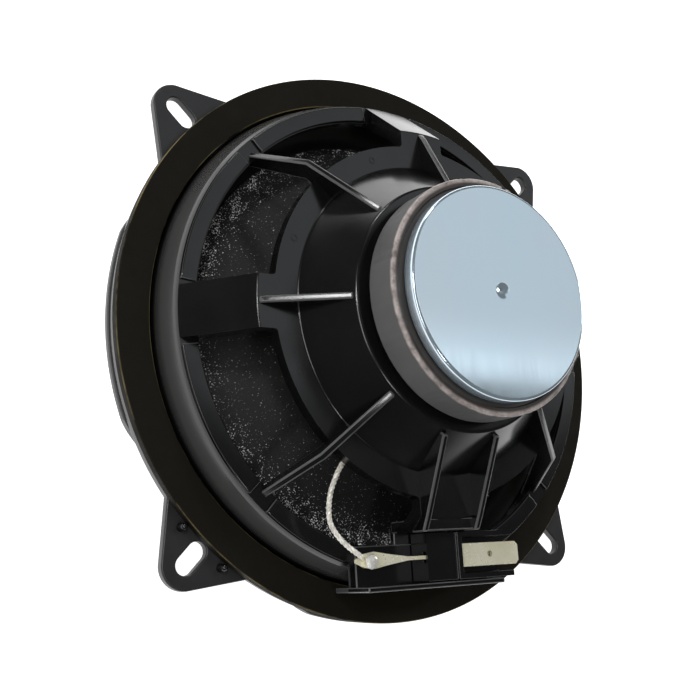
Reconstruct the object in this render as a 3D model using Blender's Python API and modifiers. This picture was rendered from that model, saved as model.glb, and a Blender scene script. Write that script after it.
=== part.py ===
"""Coaxial car speaker, 165 mm class, modelled as the separate pieces it comes apart into.

The speaker lies face down: the front rim rests on Z = 0, the magnet is on top and +Z is the rear.
The terminal block is on the -Y side. Lengths below are in millimetres; the helpers turn them into metres.
"""

import math

import bmesh
import bpy
from mathutils import Matrix, Vector

MM = 0.001
MERGE = 0.00001
RING_STEPS = 60
MID_STEPS = 44
FINE_STEPS = 36
SMALL_STEPS = 24
GAP = 0.3

# Front rim, flange and gasket
TRIM_REAR_Z = 2.4
TRIM_CHAMFER = 0.7
TRIM_INNER_R = 70.3
TRIM_NOTCH_R = 79.0
TRIM_LAND_R = 82.4
NOTCH_HALF_ANGLE = 18.0
NOTCH_FADE_ANGLE = 13.0
FLANGE_FRONT_Z = 2.7
FLANGE_REAR_Z = 6.0
FLANGE_R = 81.9
GASKET_OUTER_R = 82.5
GASKET_INNER_R = 73.4
GASKET_FRONT_Z = FLANGE_REAR_Z + GAP
GASKET_REAR_Z = 9.5
GASKET_BEVEL = 0.5
SEAT_Z = 4.8
SEAT_OUTER_R = 73.6
SEAT_INNER_R = 69.6
WALL_FOOT_R = 72.9

# Mounting ears, near each diagonal
EAR_ANGLES = (43, 135, 225, 315)
EAR_TIP_R = 96.2
EAR_TIP_ROUND = 6.6
EAR_ROOT_R = 77.5
EAR_ROOT_HALF_WIDTH = 18.0
EAR_INSET = 0.2
SLOT_INNER_R = 82.4
SLOT_OUTER_R = 92.3
SLOT_WIDTH = 5.2
PINNED_EAR_ANGLE = 225
PIN_PITCH_R = 84.0
PIN_HALF_ANGLE = 5.2
PIN_R = 1.0
PIN_REAR_Z = 9.0

# Basket behind the flange
WEB_ANGLES = (45, 135, 225, 315)
RIM_R = 69.4
RIM_Z = 18.4
RIM_UNDER_Z = 16.4
WINDOW_OUTER_R = 64.4
WINDOW_INNER_R = 50.3
WINDOW_FRONT_Z = 8.0
ARM_END_R = 55.2
LEDGE_Z = 35.0
LEDGE_UNDER_Z = 31.3
DRUM_BASE_R = 43.6
DRUM_TOP_R = 33.8
DRUM_TOP_Z = 47.5
WALL = 2.3
PLATE_SEAT_Z = 45.2
PLATE_SEAT_INNER_R = 24.5
PLATE_SEAT_DEPTH = 2.6
ARM_HALF_WIDTH = 7.0
TERMINAL_ARM_HALF_WIDTH = 9.7
WEB_THICKNESS = 2.0
WEB_KINK = (55.4, 36.0)
WEB_FOOT_Z = 12.5
RIB_THICKNESS = 1.8
LIP_HEIGHT = 0.8
LIP_INSET = 0.25
LIP_ARM_ANGLE = 7.2
LIP_TERMINAL_ANGLE = 9.6
LIP_WEB_HALF_ANGLE = 2.7
ABOVE_ALL_Z = 80.0

# Motor
PLATE_R = 29.0
PLATE_CLEARANCE = 0.4
PLATE_REAR_Z = 49.7
MAGNET_R = 31.7
MAGNET_HOLE_R = 16.0
MAGNET_REAR_Z = 59.8
MAGNET_BEVEL = 0.5
YOKE_R = 28.4
YOKE_REAR_Z = 63.8
YOKE_BEVEL = 0.8
DIMPLE_R = 2.3
DIMPLE_DEPTH = 0.7
POLE_R = 12.2
POLE_BORE_R = 3.4
POLE_BORE_END_Z = 53.0
GAP_HOLE_R = 14.5

# Cone assembly, which slides along Z
CONE_RIM_R = 61.3
CONE_FLAT_R = 57.6
CONE_RIM_Z = 5.2
CONE_NECK_R = 15.2
CONE_NECK_Z = 24.0
CONE_THICKNESS = 0.8
FORMER_OUTER_R = 13.0
FORMER_INNER_R = 12.7
FORMER_REAR_Z = 52.3
NECK_R = FORMER_OUTER_R + 0.35
WINDING_OUTER_R = 13.9
WINDING_INNER_R = 13.3
WINDING_Z = (43.6, 51.6)
SURROUND_Z = 4.25
SURROUND_THICKNESS = 0.5
ROLL_OUTER_R = 69.9
ROLL_INNER_R = 61.5
ROLL_HEIGHT = 3.3
ROLL_STEPS = 6
SPIDER_Z = 30.7
SPIDER_THICKNESS = 0.55
SPIDER_OUTER_R = 49.6
SPIDER_WAVES_R = (44.0, 16.5)
SPIDER_WAVES = 4
SPIDER_WAVE_DEPTH = 1.2
EYELET_R = 26.0
EYELET_ANGLES = {"left": 250.0, "right": 276.0}
EYELET_HOLE_R = 1.5
EYELET_HEAD_R = 2.1
EYELET_BARREL_R = 1.2
EYELET_BORE_R = 0.6
EYELET_HALF_LENGTH = 1.3
EYELET_HEAD_THICKNESS = 0.5

# Tweeter on the post
HOUSING_R = 16.5
HOUSING_REAR_Z = 17.0
HOUSING_FRONT_Z = 4.6
HOUSING_WALL = 1.5
HOUSING_BEVEL = 1.2
HOUSING_BORE_R = 1.8
FACEPLATE_R = 17.5
FACEPLATE_FRONT_Z = 1.0
FACEPLATE_REAR_Z = 4.3
HORN_MOUTH_R = 13.0
HORN_THROAT_R = 9.5
GUARD_HUB_R = 2.6
GUARD_Z = (1.4, 2.4)
GUARD_HALF_WIDTH = 0.8
DOME_R = 6.9
DOME_EDGE_Z = 6.35
DOME_HEIGHT = 2.6
DOME_HALF_THICKNESS = 0.15
TWEETER_COIL_R = (6.6, 7.2)
TWEETER_COIL_Z = (6.85, 9.3)
TWEETER_YOKE_R = 10.2
TWEETER_YOKE_Z = (6.9, 12.7)
TWEETER_YOKE_WALL = 1.7
TWEETER_CUP_R = 7.8
TWEETER_POLE_R = 6.0
TWEETER_MAGNET_Z = (8.8, 10.7)
TWEETER_POLE_Z = (7.0, 8.5)
POST_R = 4.5
POST_PIN_R = 3.0
POST_PIN_REAR_Z = 52.4
POST_FOOT_R = 7.0
POST_FOOT_Z = 19.2
POST_BORE_R = 1.75
POST_BORE_Z = 24.5
SCREW_R = 1.35
SCREW_REAR_Z = 22.5
SCREW_HEAD_R = 2.8
SCREW_HEAD_Z = (13.0, 15.1)
LEAD_HOLE_R = 1.1
LEAD_HOLE_PITCH_R = 12.0
LEAD_END_Z = 13.6
CAPACITOR_R = 3.2
CAPACITOR_CENTRE_Y = 8.0
CAPACITOR_Z = (20.5, 32.0)
TIE_Z = 27.0
TIE_WIDTH = 2.6
TIE_THICKNESS = 0.8
CAPACITOR_LEAD_R = 0.35
TWEETER_LEAD_R = 0.45

# Terminal block, on the -Y arm
TRAY_LEFT_X = -23.0
TRAY_RIGHT_X = 25.5
TRAY_FLOOR_Z = 21.5
TRAY_UNDER_Z = 17.4
TRAY_WALL_Z = 28.6
TRAY_OUTER_Y = -73.0
TRAY_WALL_INNER_Y = -71.6
BLOCK_TOP_Y = -58.2
LEAD_HOLE_BOX = ((-1.0, -66.6, 15.0), (1.0, -62.7, 23.0))
SOLDER_POCKET_BOX = ((-1.9, -66.9, 9.0), (1.9, -62.4, 16.9))
GUARD_LEFT_X = -4.0
SOCKET_LEFT_X = 6.0
GUARD_OUTER_Y = -71.2
GUARD_LOW_REAR_Z = 28.9
GUARD_REAR_Z = 29.7
GUARD_WALL = 1.5
GUARD_BEVEL = 0.25
SOCKET_FLOOR_Z = 23.0
SLOT_CLEARANCE = 1.1
UPPER_SLOT_HALF_WIDTH = 1.4
LOWER_SLOT_HALF_WIDTH = 1.9
DROP_HALF_LENGTH = 0.9
BLADE_THICKNESS = 0.8
BLADE_Y = -64.9
BLADE_LEFT_X = 8.4
UPPER_BLADE_Z = 27.2
UPPER_BLADE_END_X = 28.9
UPPER_BLADE_HALF_WIDTH = 3.15
BLADE_HOLE_R = 0.9
BLADE_HOLE_X = 18.5
UPPER_TAIL_HALF_WIDTH = 0.5
LUG_TIP_X = -26.2
LUG_WIDEST_X = -20.5
LUG_END_X = -9.5
LUG_HALF_WIDTH = 2.2
LUG_HOLE_R = 0.8
LUG_HOLE_X = -22.0
LOWER_BLADE_Z = 24.0
LOWER_BLADE_END_X = 27.0
LOWER_BLADE_HALF_WIDTH = 2.4
LOWER_TAIL_HALF_WIDTH = 1.2
LOWER_TAIL_X = -0.4
LEG_FRONT_Z = 16.6
SOLDER_LEFT = (LUG_HOLE_X, BLADE_Y - 0.3, 29.1)
SOLDER_LEFT_SIZE = (2.0, 0.8)
SOLDER_RIGHT = (0.0, BLADE_Y, 15.1)
SOLDER_RIGHT_SIZE = (1.4, 1.2)
COIL_LEAD_R = 0.7


def clear_scene():
    for obj in list(bpy.data.objects):
        bpy.data.objects.remove(obj, do_unlink=True)


def new_collection(name, helper=False):
    collection = bpy.data.collections.new(name)
    bpy.context.scene.collection.children.link(collection)
    collection.hide_render = helper
    return collection


clear_scene()
PARTS = new_collection("coaxial_speaker")
HELPERS = new_collection("cutters", helper=True)


def material(name, colour, roughness, metallic=0.0):
    made = bpy.data.materials.new(name)
    made.use_nodes = True
    shader = made.node_tree.nodes["Principled BSDF"]
    shader.inputs["Base Color"].default_value = (*colour, 1.0)
    shader.inputs["Roughness"].default_value = roughness
    shader.inputs["Metallic"].default_value = metallic
    made.diffuse_color = (*colour, 1.0)
    return made


def as_part(obj, colour, roughness, metallic=0.0):
    """Moves a finished object into the speaker's collection and gives it its own material."""
    for collection in list(obj.users_collection):
        collection.objects.unlink(obj)
    PARTS.objects.link(obj)
    obj.data.materials.clear()
    obj.data.materials.append(material(obj.name, colour, roughness, metallic))
    obj.hide_render = False
    obj.display_type = "TEXTURED"
    return obj


def helper_object(name, data):
    obj = bpy.data.objects.new(name, data)
    HELPERS.objects.link(obj)
    obj.hide_render = True
    obj.display_type = "WIRE"
    return obj


def turned(name, profile, steps=RING_STEPS, solid=False):
    """A turned body. A solid one's profile starts and ends on the axis; any other is a closed loop."""
    mesh = bpy.data.meshes.new(name)
    points = [(r * MM, 0.0, z * MM) for r, z in profile]
    edges = [(i, i + 1) for i in range(len(points) - 1)]
    if not solid:
        edges.append((len(points) - 1, 0))
    mesh.from_pydata(points, edges, [])
    obj = helper_object(name, mesh)
    screw = obj.modifiers.new("turn", "SCREW")
    screw.steps = steps
    screw.render_steps = steps
    screw.use_merge_vertices = solid
    screw.merge_threshold = MERGE
    screw.use_smooth_shade = True
    return obj


def tube_profile(inner_r, outer_r, low_z, high_z):
    return [(outer_r, high_z), (outer_r, low_z), (inner_r, low_z), (inner_r, high_z)]


def disc_profile(radius, low_z, high_z):
    return [(0.0, high_z), (radius, high_z), (radius, low_z), (0.0, low_z)]


def strip(line, thickness):
    """The closed outline of a strip of even thickness along a centre line that runs inwards."""
    half = thickness / 2
    near, far = [], []
    for i, (r, z) in enumerate(line):
        before = Vector(line[max(i - 1, 0)])
        after = Vector(line[min(i + 1, len(line) - 1)])
        along = (after - before).normalized()
        near.append((r + along.y * half, z - along.x * half))
        far.append((r - along.y * half, z + along.x * half))
    return far + near[::-1]


def evaluated_mesh(obj):
    graph = bpy.context.evaluated_depsgraph_get()
    return bpy.data.meshes.new_from_object(obj.evaluated_get(graph))


def to_mesh(obj):
    """Replaces a curve, or an object with modifiers, by the mesh it evaluates to, with its caps welded."""
    bpy.context.view_layer.update()
    mesh = evaluated_mesh(obj)
    form = bmesh.new()
    form.from_mesh(mesh)
    bmesh.ops.remove_doubles(form, verts=form.verts, dist=MERGE)
    bmesh.ops.recalc_face_normals(form, faces=form.faces)
    form.to_mesh(mesh)
    form.free()
    name = obj.name
    placed = obj.matrix_world.copy()
    bpy.data.objects.remove(obj, do_unlink=True)
    made = helper_object(name, mesh)
    made.matrix_world = placed
    return made


def plate(name, outlines, thickness, placed=None):
    """A flat piece centred on its own plane: the first outline is its edge and the others are its holes."""
    curve = bpy.data.curves.new(name, "CURVE")
    curve.dimensions = "2D"
    curve.fill_mode = "BOTH"
    curve.extrude = thickness * MM / 2
    for outline in outlines:
        spline = curve.splines.new("POLY")
        spline.points.add(len(outline) - 1)
        for point, (x, y) in zip(spline.points, outline):
            point.co = (x * MM, y * MM, 0.0, 1.0)
        spline.use_cyclic_u = True
    obj = helper_object(name, curve)
    obj.matrix_world = placed or Matrix.Identity(4)
    return to_mesh(obj)


def lifted(z, angle=0.0):
    return Matrix.Rotation(math.radians(angle), 4, "Z") @ Matrix.Translation((0.0, 0.0, z * MM))


def upright(angle, offset=0.0):
    """Stands a flat outline up: its x runs outwards along the angle and its y runs along +Z."""
    across = Matrix.Translation((0.0, offset * MM, 0.0))
    return Matrix.Rotation(math.radians(angle), 4, "Z") @ across @ Matrix.Rotation(math.pi / 2, 4, "X")


def box(name, low, high):
    mesh = bpy.data.meshes.new(name)
    form = bmesh.new()
    bmesh.ops.create_cube(form, size=1.0)
    size = [(b - a) * MM for a, b in zip(low, high)]
    middle = [(a + b) * MM / 2 for a, b in zip(low, high)]
    bmesh.ops.scale(form, vec=size, verts=form.verts)
    bmesh.ops.translate(form, vec=middle, verts=form.verts)
    form.to_mesh(mesh)
    form.free()
    return helper_object(name, mesh)


def cylinder(name, radius, low_z, high_z, x=0.0, y=0.0, sides=SMALL_STEPS):
    mesh = bpy.data.meshes.new(name)
    form = bmesh.new()
    depth = (high_z - low_z) * MM
    bmesh.ops.create_cone(
        form, cap_ends=True, segments=sides, radius1=radius * MM, radius2=radius * MM, depth=depth
    )
    bmesh.ops.translate(form, vec=(x * MM, y * MM, (low_z + high_z) * MM / 2), verts=form.verts)
    form.to_mesh(mesh)
    form.free()
    return helper_object(name, mesh)


def arc(radius, start, end, count, centre=(0.0, 0.0)):
    points = []
    for i in range(count + 1):
        angle = math.radians(start + (end - start) * i / count)
        points.append((centre[0] + radius * math.cos(angle), centre[1] + radius * math.sin(angle)))
    return points


def sector(inner_r, outer_r, start, end):
    count = max(2, round(abs(end - start) / (360 / RING_STEPS)))
    return arc(outer_r, start, end, count) + arc(inner_r, end, start, count)


def join(target, others):
    combine(target, others, "UNION")


def cut(target, others):
    combine(target, others, "DIFFERENCE")


def combine(target, others, operation):
    for other in others:
        step = target.modifiers.new(other.name, "BOOLEAN")
        step.operation = operation
        step.solver = "EXACT"
        step.object = other


def soften(obj, width, angle=50.0, segments=2):
    edge = obj.modifiers.new("edges", "BEVEL")
    edge.width = width * MM
    edge.segments = segments
    edge.limit_method = "ANGLE"
    edge.angle_limit = math.radians(angle)


def smooth_route(points, spacing):
    """Even points along a smooth curve through the route's own points."""
    knots = [Vector(p) for p in points]
    knots = [2 * knots[0] - knots[1], *knots, 2 * knots[-1] - knots[-2]]
    fine = []
    for a, b, c, d in zip(knots, knots[1:], knots[2:], knots[3:]):
        count = max(2, round((c - b).length / spacing))
        for i in range(count):
            t = i / count
            bend = 2 * a - 5 * b + 4 * c - d
            twist = 3 * b - a - 3 * c + d
            fine.append(0.5 * (2 * b + (c - a) * t + bend * t**2 + twist * t**3))
    return [*fine, knots[-2]]


def wire(name, points, radius, spacing):
    curve = bpy.data.curves.new(name, "CURVE")
    curve.dimensions = "3D"
    curve.bevel_depth = radius * MM
    curve.bevel_resolution = 2
    curve.use_fill_caps = True
    route = smooth_route(points, spacing)
    spline = curve.splines.new("POLY")
    spline.points.add(len(route) - 1)
    for point, place in zip(spline.points, route):
        point.co = (*(place * MM), 1.0)
    return helper_object(name, curve)


def polar(radius, angle, z):
    turn = math.radians(angle)
    return (radius * math.cos(turn), radius * math.sin(turn), z)


# ---------------------------------------------------------------- basket


def basket_body():
    return turned(
        "basket",
        [
            (PLATE_R + PLATE_CLEARANCE, DRUM_TOP_Z),
            (DRUM_TOP_R, DRUM_TOP_Z),
            (DRUM_BASE_R, LEDGE_Z),
            (ARM_END_R, LEDGE_Z),
            (RIM_R, RIM_Z),
            (RIM_R + 0.8, RIM_Z - 1.4),
            (WALL_FOOT_R - 0.5, GASKET_REAR_Z + 0.5),
            (WALL_FOOT_R, FLANGE_REAR_Z),
            (FLANGE_R, FLANGE_REAR_Z),
            (FLANGE_R, FLANGE_FRONT_Z),
            (SEAT_OUTER_R, FLANGE_FRONT_Z),
            (SEAT_OUTER_R, SEAT_Z),
            (SEAT_INNER_R, SEAT_Z),
            (SEAT_INNER_R + 0.2, 9.0),
            (WINDOW_OUTER_R - 0.5, RIM_UNDER_Z),
            (ARM_END_R - 2.0, LEDGE_UNDER_Z),
            (DRUM_BASE_R - WALL, LEDGE_UNDER_Z),
            (DRUM_TOP_R - WALL, PLATE_SEAT_Z - PLATE_SEAT_DEPTH),
            (PLATE_SEAT_INNER_R, PLATE_SEAT_Z - PLATE_SEAT_DEPTH),
            (PLATE_SEAT_INNER_R, PLATE_SEAT_Z),
            (PLATE_R + PLATE_CLEARANCE, PLATE_SEAT_Z),
        ],
    )


def window_cutter():
    """A stepped ring, cut through by the arms, that opens the windows and leaves a flat rim outside them."""
    ring = turned(
        "window_ring",
        [
            (RIM_R + 4.0, LEDGE_Z + 10.0),
            (RIM_R + 4.0, RIM_Z),
            (WINDOW_OUTER_R, RIM_Z),
            (WINDOW_OUTER_R, WINDOW_FRONT_Z),
            (WINDOW_INNER_R, WINDOW_FRONT_Z),
            (WINDOW_INNER_R, LEDGE_Z + 10.0),
        ],
    )
    reach = RIM_R + 10.0
    across = box("arms_across", (-reach, -ARM_HALF_WIDTH, 0), (reach, ARM_HALF_WIDTH, ABOVE_ALL_Z))
    along = box("arm_along", (-ARM_HALF_WIDTH, 0, 0), (ARM_HALF_WIDTH, reach, ABOVE_ALL_Z))
    wide = TERMINAL_ARM_HALF_WIDTH
    terminal = box("arm_terminal", (-wide, -reach, 0), (wide, 0, ABOVE_ALL_Z))
    cut(ring, [across, along, terminal])
    return ring


def web_outline(kink_r, kink_z, outer):
    """A thin radial wall: its rear edge runs from the drum's rear to a kink over the ledge, then outwards."""
    return [
        (DRUM_TOP_R + 0.8, DRUM_TOP_Z - 0.5),
        (DRUM_TOP_R - 1.4, DRUM_TOP_Z - 3.0),
        (DRUM_BASE_R - 1.4, LEDGE_Z - 2.0),
        *outer,
        (kink_r, kink_z),
    ]


def webs():
    outer = [
        (ARM_END_R - 3.5, LEDGE_UNDER_Z + 0.5),
        (RIM_R - 3.6, WEB_FOOT_Z),
        (RIM_R - 0.4, WEB_FOOT_Z),
        (RIM_R - 1.8, RIM_UNDER_Z),
    ]
    outline = web_outline(*WEB_KINK, outer)
    return [plate(f"web_{a}", [outline], WEB_THICKNESS, upright(a)) for a in WEB_ANGLES]


def short_ribs():
    outer = [(ARM_END_R - 1.0, LEDGE_Z - 2.0), (ARM_END_R - 0.4, LEDGE_Z + 0.4)]
    outline = web_outline(ARM_END_R - 2.5, LEDGE_Z + 1.8, outer)
    return [plate(f"rib_{a}", [outline], RIB_THICKNESS, upright(a)) for a in (0, 90, 180)]


def terminal_ribs():
    """Two parallel walls that stand on either side of the terminal arm."""
    outer = [(57.6, LEDGE_Z - 5.0), (58.4, LEDGE_Z - 5.0), (58.4, LEDGE_Z + 0.4)]
    outline = web_outline(54.6, LEDGE_Z + 2.4, outer)
    side = TERMINAL_ARM_HALF_WIDTH - RIB_THICKNESS / 2 - 0.15
    return [plate(f"terminal_rib_{s}", [outline], RIB_THICKNESS, upright(270, s * side)) for s in (-1, 1)]


def window_lips():
    """Raised strips on the flat rim, one along the outer edge of each half window."""
    strips = []
    for quarter in range(4):
        start = quarter * 90
        middle = start + 45
        first = start + (LIP_TERMINAL_ANGLE if quarter == 3 else LIP_ARM_ANGLE)
        last = start + 90 - (LIP_TERMINAL_ANGLE if quarter == 2 else LIP_ARM_ANGLE)
        for low, high in ((first, middle - LIP_WEB_HALF_ANGLE), (middle + LIP_WEB_HALF_ANGLE, last)):
            outline = sector(WINDOW_OUTER_R + LIP_INSET, RIM_R - LIP_INSET, low, high)
            strips.append(plate(f"lip_{len(strips)}", [outline], 2 * LIP_HEIGHT, lifted(RIM_Z)))
    return strips


def ear_outline():
    tip_x = EAR_TIP_R - EAR_TIP_ROUND
    root = (EAR_ROOT_R, EAR_ROOT_HALF_WIDTH)
    lean = math.degrees(math.atan2(tip_x - EAR_ROOT_R, EAR_ROOT_HALF_WIDTH - EAR_TIP_ROUND))
    tip = arc(EAR_TIP_ROUND, -lean, lean, 12, (tip_x, 0.0))
    return [(root[0], -root[1]), *tip, root]


def slot_outline():
    half = SLOT_WIDTH / 2
    outer = arc(half, -90, 90, 8, (SLOT_OUTER_R - half, 0.0))
    inner = arc(half, 90, 270, 8, (SLOT_INNER_R + half, 0.0))
    return outer + inner


def ears():
    middle = (FLANGE_FRONT_Z + FLANGE_REAR_Z) / 2
    depth = FLANGE_REAR_Z - FLANGE_FRONT_Z - 2 * EAR_INSET
    return [plate(f"ear_{a}", [ear_outline()], depth, lifted(middle, a)) for a in EAR_ANGLES]


def slots():
    middle = (FLANGE_FRONT_Z + FLANGE_REAR_Z) / 2
    return [plate(f"slot_{a}", [slot_outline()], 12.0, lifted(middle, a)) for a in EAR_ANGLES]


def ear_pins():
    """Two short locating pins on one ear, just outside the gasket."""
    pins = []
    for turn in (-PIN_HALF_ANGLE, PIN_HALF_ANGLE):
        x, y, _ = polar(PIN_PITCH_R, PINNED_EAR_ANGLE + turn, 0)
        pins.append(cylinder(f"pin_{turn}", PIN_R, FLANGE_REAR_Z - 2.0, PIN_REAR_Z, x, y, 12))
    return pins


def terminal_tray():
    """The shelf under the connector, its outer wall, and the block that closes the terminal arm's end."""
    wide = TERMINAL_ARM_HALF_WIDTH - 0.2
    return [
        box(
            "tray_floor",
            (TRAY_LEFT_X + 0.8, TRAY_OUTER_Y + 0.5, TRAY_UNDER_Z),
            (TRAY_RIGHT_X - 3.0, BLOCK_TOP_Y - 2.8, TRAY_FLOOR_Z),
        ),
        box(
            "tray_wall",
            (TRAY_LEFT_X, TRAY_OUTER_Y, 12.0),
            (TRAY_RIGHT_X - 2.8, TRAY_WALL_INNER_Y, TRAY_WALL_Z),
        ),
        box("arm_block", (-wide, BLOCK_TOP_Y + 0.1, 20.6), (wide, -ARM_END_R + 0.2, LEDGE_Z - 0.3)),
        box("arm_foot", (-wide + 0.3, -62.0, 19.4), (wide - 0.3, -56.0, TRAY_FLOOR_Z - 0.2)),
    ]


def basket():
    body = basket_body()
    bay = box("terminal_bay", (-30.0, -80.0, TRAY_FLOOR_Z - 1.0), (30.0, BLOCK_TOP_Y, ABOVE_ALL_Z))
    cut(body, [window_cutter(), bay])
    join(body, webs() + short_ribs() + terminal_ribs() + window_lips())
    join(body, ears() + ear_pins() + terminal_tray())
    lead_way = [box("lead_hole", *LEAD_HOLE_BOX), box("solder_pocket", *SOLDER_POCKET_BOX)]
    cut(body, slots() + lead_way)
    as_part(body, (0.013, 0.013, 0.014), 0.32)


# ---------------------------------------------------------------- front rim and soft parts


def rear_gasket():
    ring = turned(
        "rear_gasket",
        [
            (GASKET_OUTER_R, GASKET_REAR_Z - GASKET_BEVEL),
            (GASKET_OUTER_R, GASKET_FRONT_Z),
            (GASKET_INNER_R, GASKET_FRONT_Z),
            (GASKET_INNER_R, GASKET_REAR_Z - GASKET_BEVEL),
            (GASKET_INNER_R + GASKET_BEVEL, GASKET_REAR_Z),
            (GASKET_OUTER_R - GASKET_BEVEL, GASKET_REAR_Z),
        ],
    )
    as_part(ring, (0.020, 0.019, 0.015), 0.85)


def notch_outline(middle):
    """The space beside one ear: its inner edge fades out to the ring's own edge at both ends."""
    reach = NOTCH_HALF_ANGLE + NOTCH_FADE_ANGLE
    inner = []
    count = 24
    for i in range(count + 1):
        turn = reach * (2 * i / count - 1)
        fade = max(0.0, (abs(turn) - NOTCH_HALF_ANGLE) / NOTCH_FADE_ANGLE)
        r = TRIM_NOTCH_R + (TRIM_LAND_R + 0.4 - TRIM_NOTCH_R) * math.sin(fade * math.pi / 2)
        inner.append(polar(r, middle + turn, 0.0)[:2])
    return arc(TRIM_LAND_R + 3.0, middle + reach, middle - reach, count) + inner


def front_trim_ring():
    """A full ring whose outer edge is cut back beside each ear, which leaves four wide lands."""
    seat = SEAT_OUTER_R - 0.6
    rear = SURROUND_Z - 0.55
    ring = turned(
        "front_trim_ring",
        [
            (TRIM_LAND_R, TRIM_REAR_Z),
            (TRIM_LAND_R, TRIM_CHAMFER),
            (TRIM_LAND_R - TRIM_CHAMFER, 0.0),
            (TRIM_INNER_R + TRIM_CHAMFER, 0.0),
            (TRIM_INNER_R, TRIM_CHAMFER),
            (TRIM_INNER_R, rear),
            (seat, rear),
            (seat, TRIM_REAR_Z),
        ],
    )
    cut(ring, [plate(f"notch_{a}", [notch_outline(a)], 10.0, lifted(1.0)) for a in WEB_ANGLES])
    as_part(ring, (0.05, 0.05, 0.052), 0.45)


def surround():
    """Rubber half roll: glue flange, roll that rises towards the front, inner flange on the cone's rim."""
    line = [(SEAT_OUTER_R - 0.5, SURROUND_Z), (ROLL_OUTER_R, SURROUND_Z)]
    for i in range(1, ROLL_STEPS):
        share = i / ROLL_STEPS
        r = ROLL_OUTER_R + (ROLL_INNER_R - ROLL_OUTER_R) * share
        line.append((r, SURROUND_Z - ROLL_HEIGHT * math.sin(math.pi * share)))
    line += [(ROLL_INNER_R, SURROUND_Z), (CONE_FLAT_R + 0.4, SURROUND_Z)]
    as_part(turned("surround", strip(line, SURROUND_THICKNESS), MID_STEPS), (0.015, 0.015, 0.015), 0.6)


def cone_z(r):
    """Height of the cone's middle surface at a radius."""
    share = (CONE_FLAT_R - r) / (CONE_FLAT_R - CONE_NECK_R)
    return CONE_RIM_Z + (CONE_NECK_Z - CONE_RIM_Z) * share


def eyelet_placed(angle):
    """Places a turned piece on the cone at an eyelet, with its own axis square to the cone's surface."""
    slope = math.atan2(CONE_NECK_Z - CONE_RIM_Z, CONE_FLAT_R - CONE_NECK_R)
    place = Matrix.Translation(Vector(polar(EYELET_R, angle, cone_z(EYELET_R))) * MM)
    around = Matrix.Rotation(math.radians(angle), 4, "Z")
    return place @ around @ Matrix.Rotation(slope, 4, "Y")


def cone():
    line = [
        (CONE_RIM_R, CONE_RIM_Z),
        (CONE_FLAT_R, CONE_RIM_Z),
        (CONE_NECK_R, CONE_NECK_Z),
        (NECK_R, CONE_NECK_Z + 0.1),
    ]
    body = turned("cone", strip(line, CONE_THICKNESS), MID_STEPS)
    holes = []
    for side, angle in EYELET_ANGLES.items():
        hole = cylinder(f"eyelet_hole_{side}", EYELET_HOLE_R, -3.0, 3.0, sides=16)
        hole.matrix_world = eyelet_placed(angle)
        holes.append(hole)
    cut(body, holes)
    as_part(body, (0.02, 0.02, 0.021), 0.75)


def cone_eyelets():
    """Hollow rivets in the cone where the flexible leads meet the coil's wires."""
    end = EYELET_HALF_LENGTH
    head = end - EYELET_HEAD_THICKNESS
    profile = [
        (EYELET_HEAD_R, end),
        (EYELET_HEAD_R, head),
        (EYELET_BARREL_R, head),
        (EYELET_BARREL_R, -head),
        (EYELET_HEAD_R, -head),
        (EYELET_HEAD_R, -end),
        (EYELET_BORE_R, -end),
        (EYELET_BORE_R, end),
    ]
    for side, angle in EYELET_ANGLES.items():
        rivet = turned(f"cone_eyelet_{side}", profile, 16)
        rivet.matrix_world = eyelet_placed(angle)
        as_part(rivet, (0.70, 0.58, 0.32), 0.3, 1.0)


def spider():
    """Corrugated cloth disc from the ledge to the coil former, drawn as a zigzag of even waves."""
    start, end = SPIDER_WAVES_R
    line = [(SPIDER_OUTER_R, SPIDER_Z), (start, SPIDER_Z)]
    for i in range(1, 2 * SPIDER_WAVES):
        r = start + (end - start) * i / (2 * SPIDER_WAVES)
        line.append((r, SPIDER_Z - (SPIDER_WAVE_DEPTH if i % 2 else 0.0)))
    line += [(end, SPIDER_Z), (NECK_R, SPIDER_Z)]
    as_part(turned("spider", strip(line, SPIDER_THICKNESS), FINE_STEPS), (0.45, 0.32, 0.10), 0.9)


def voice_coil():
    front = CONE_NECK_Z - 1.6
    former = tube_profile(FORMER_INNER_R, FORMER_OUTER_R, front, FORMER_REAR_Z)
    as_part(turned("voice_coil_former", former, FINE_STEPS), (0.55, 0.38, 0.16), 0.5)
    winding = tube_profile(WINDING_INNER_R, WINDING_OUTER_R, *WINDING_Z)
    as_part(turned("voice_coil_winding", winding, FINE_STEPS), (0.72, 0.34, 0.16), 0.35, 1.0)


# ---------------------------------------------------------------- motor


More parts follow.
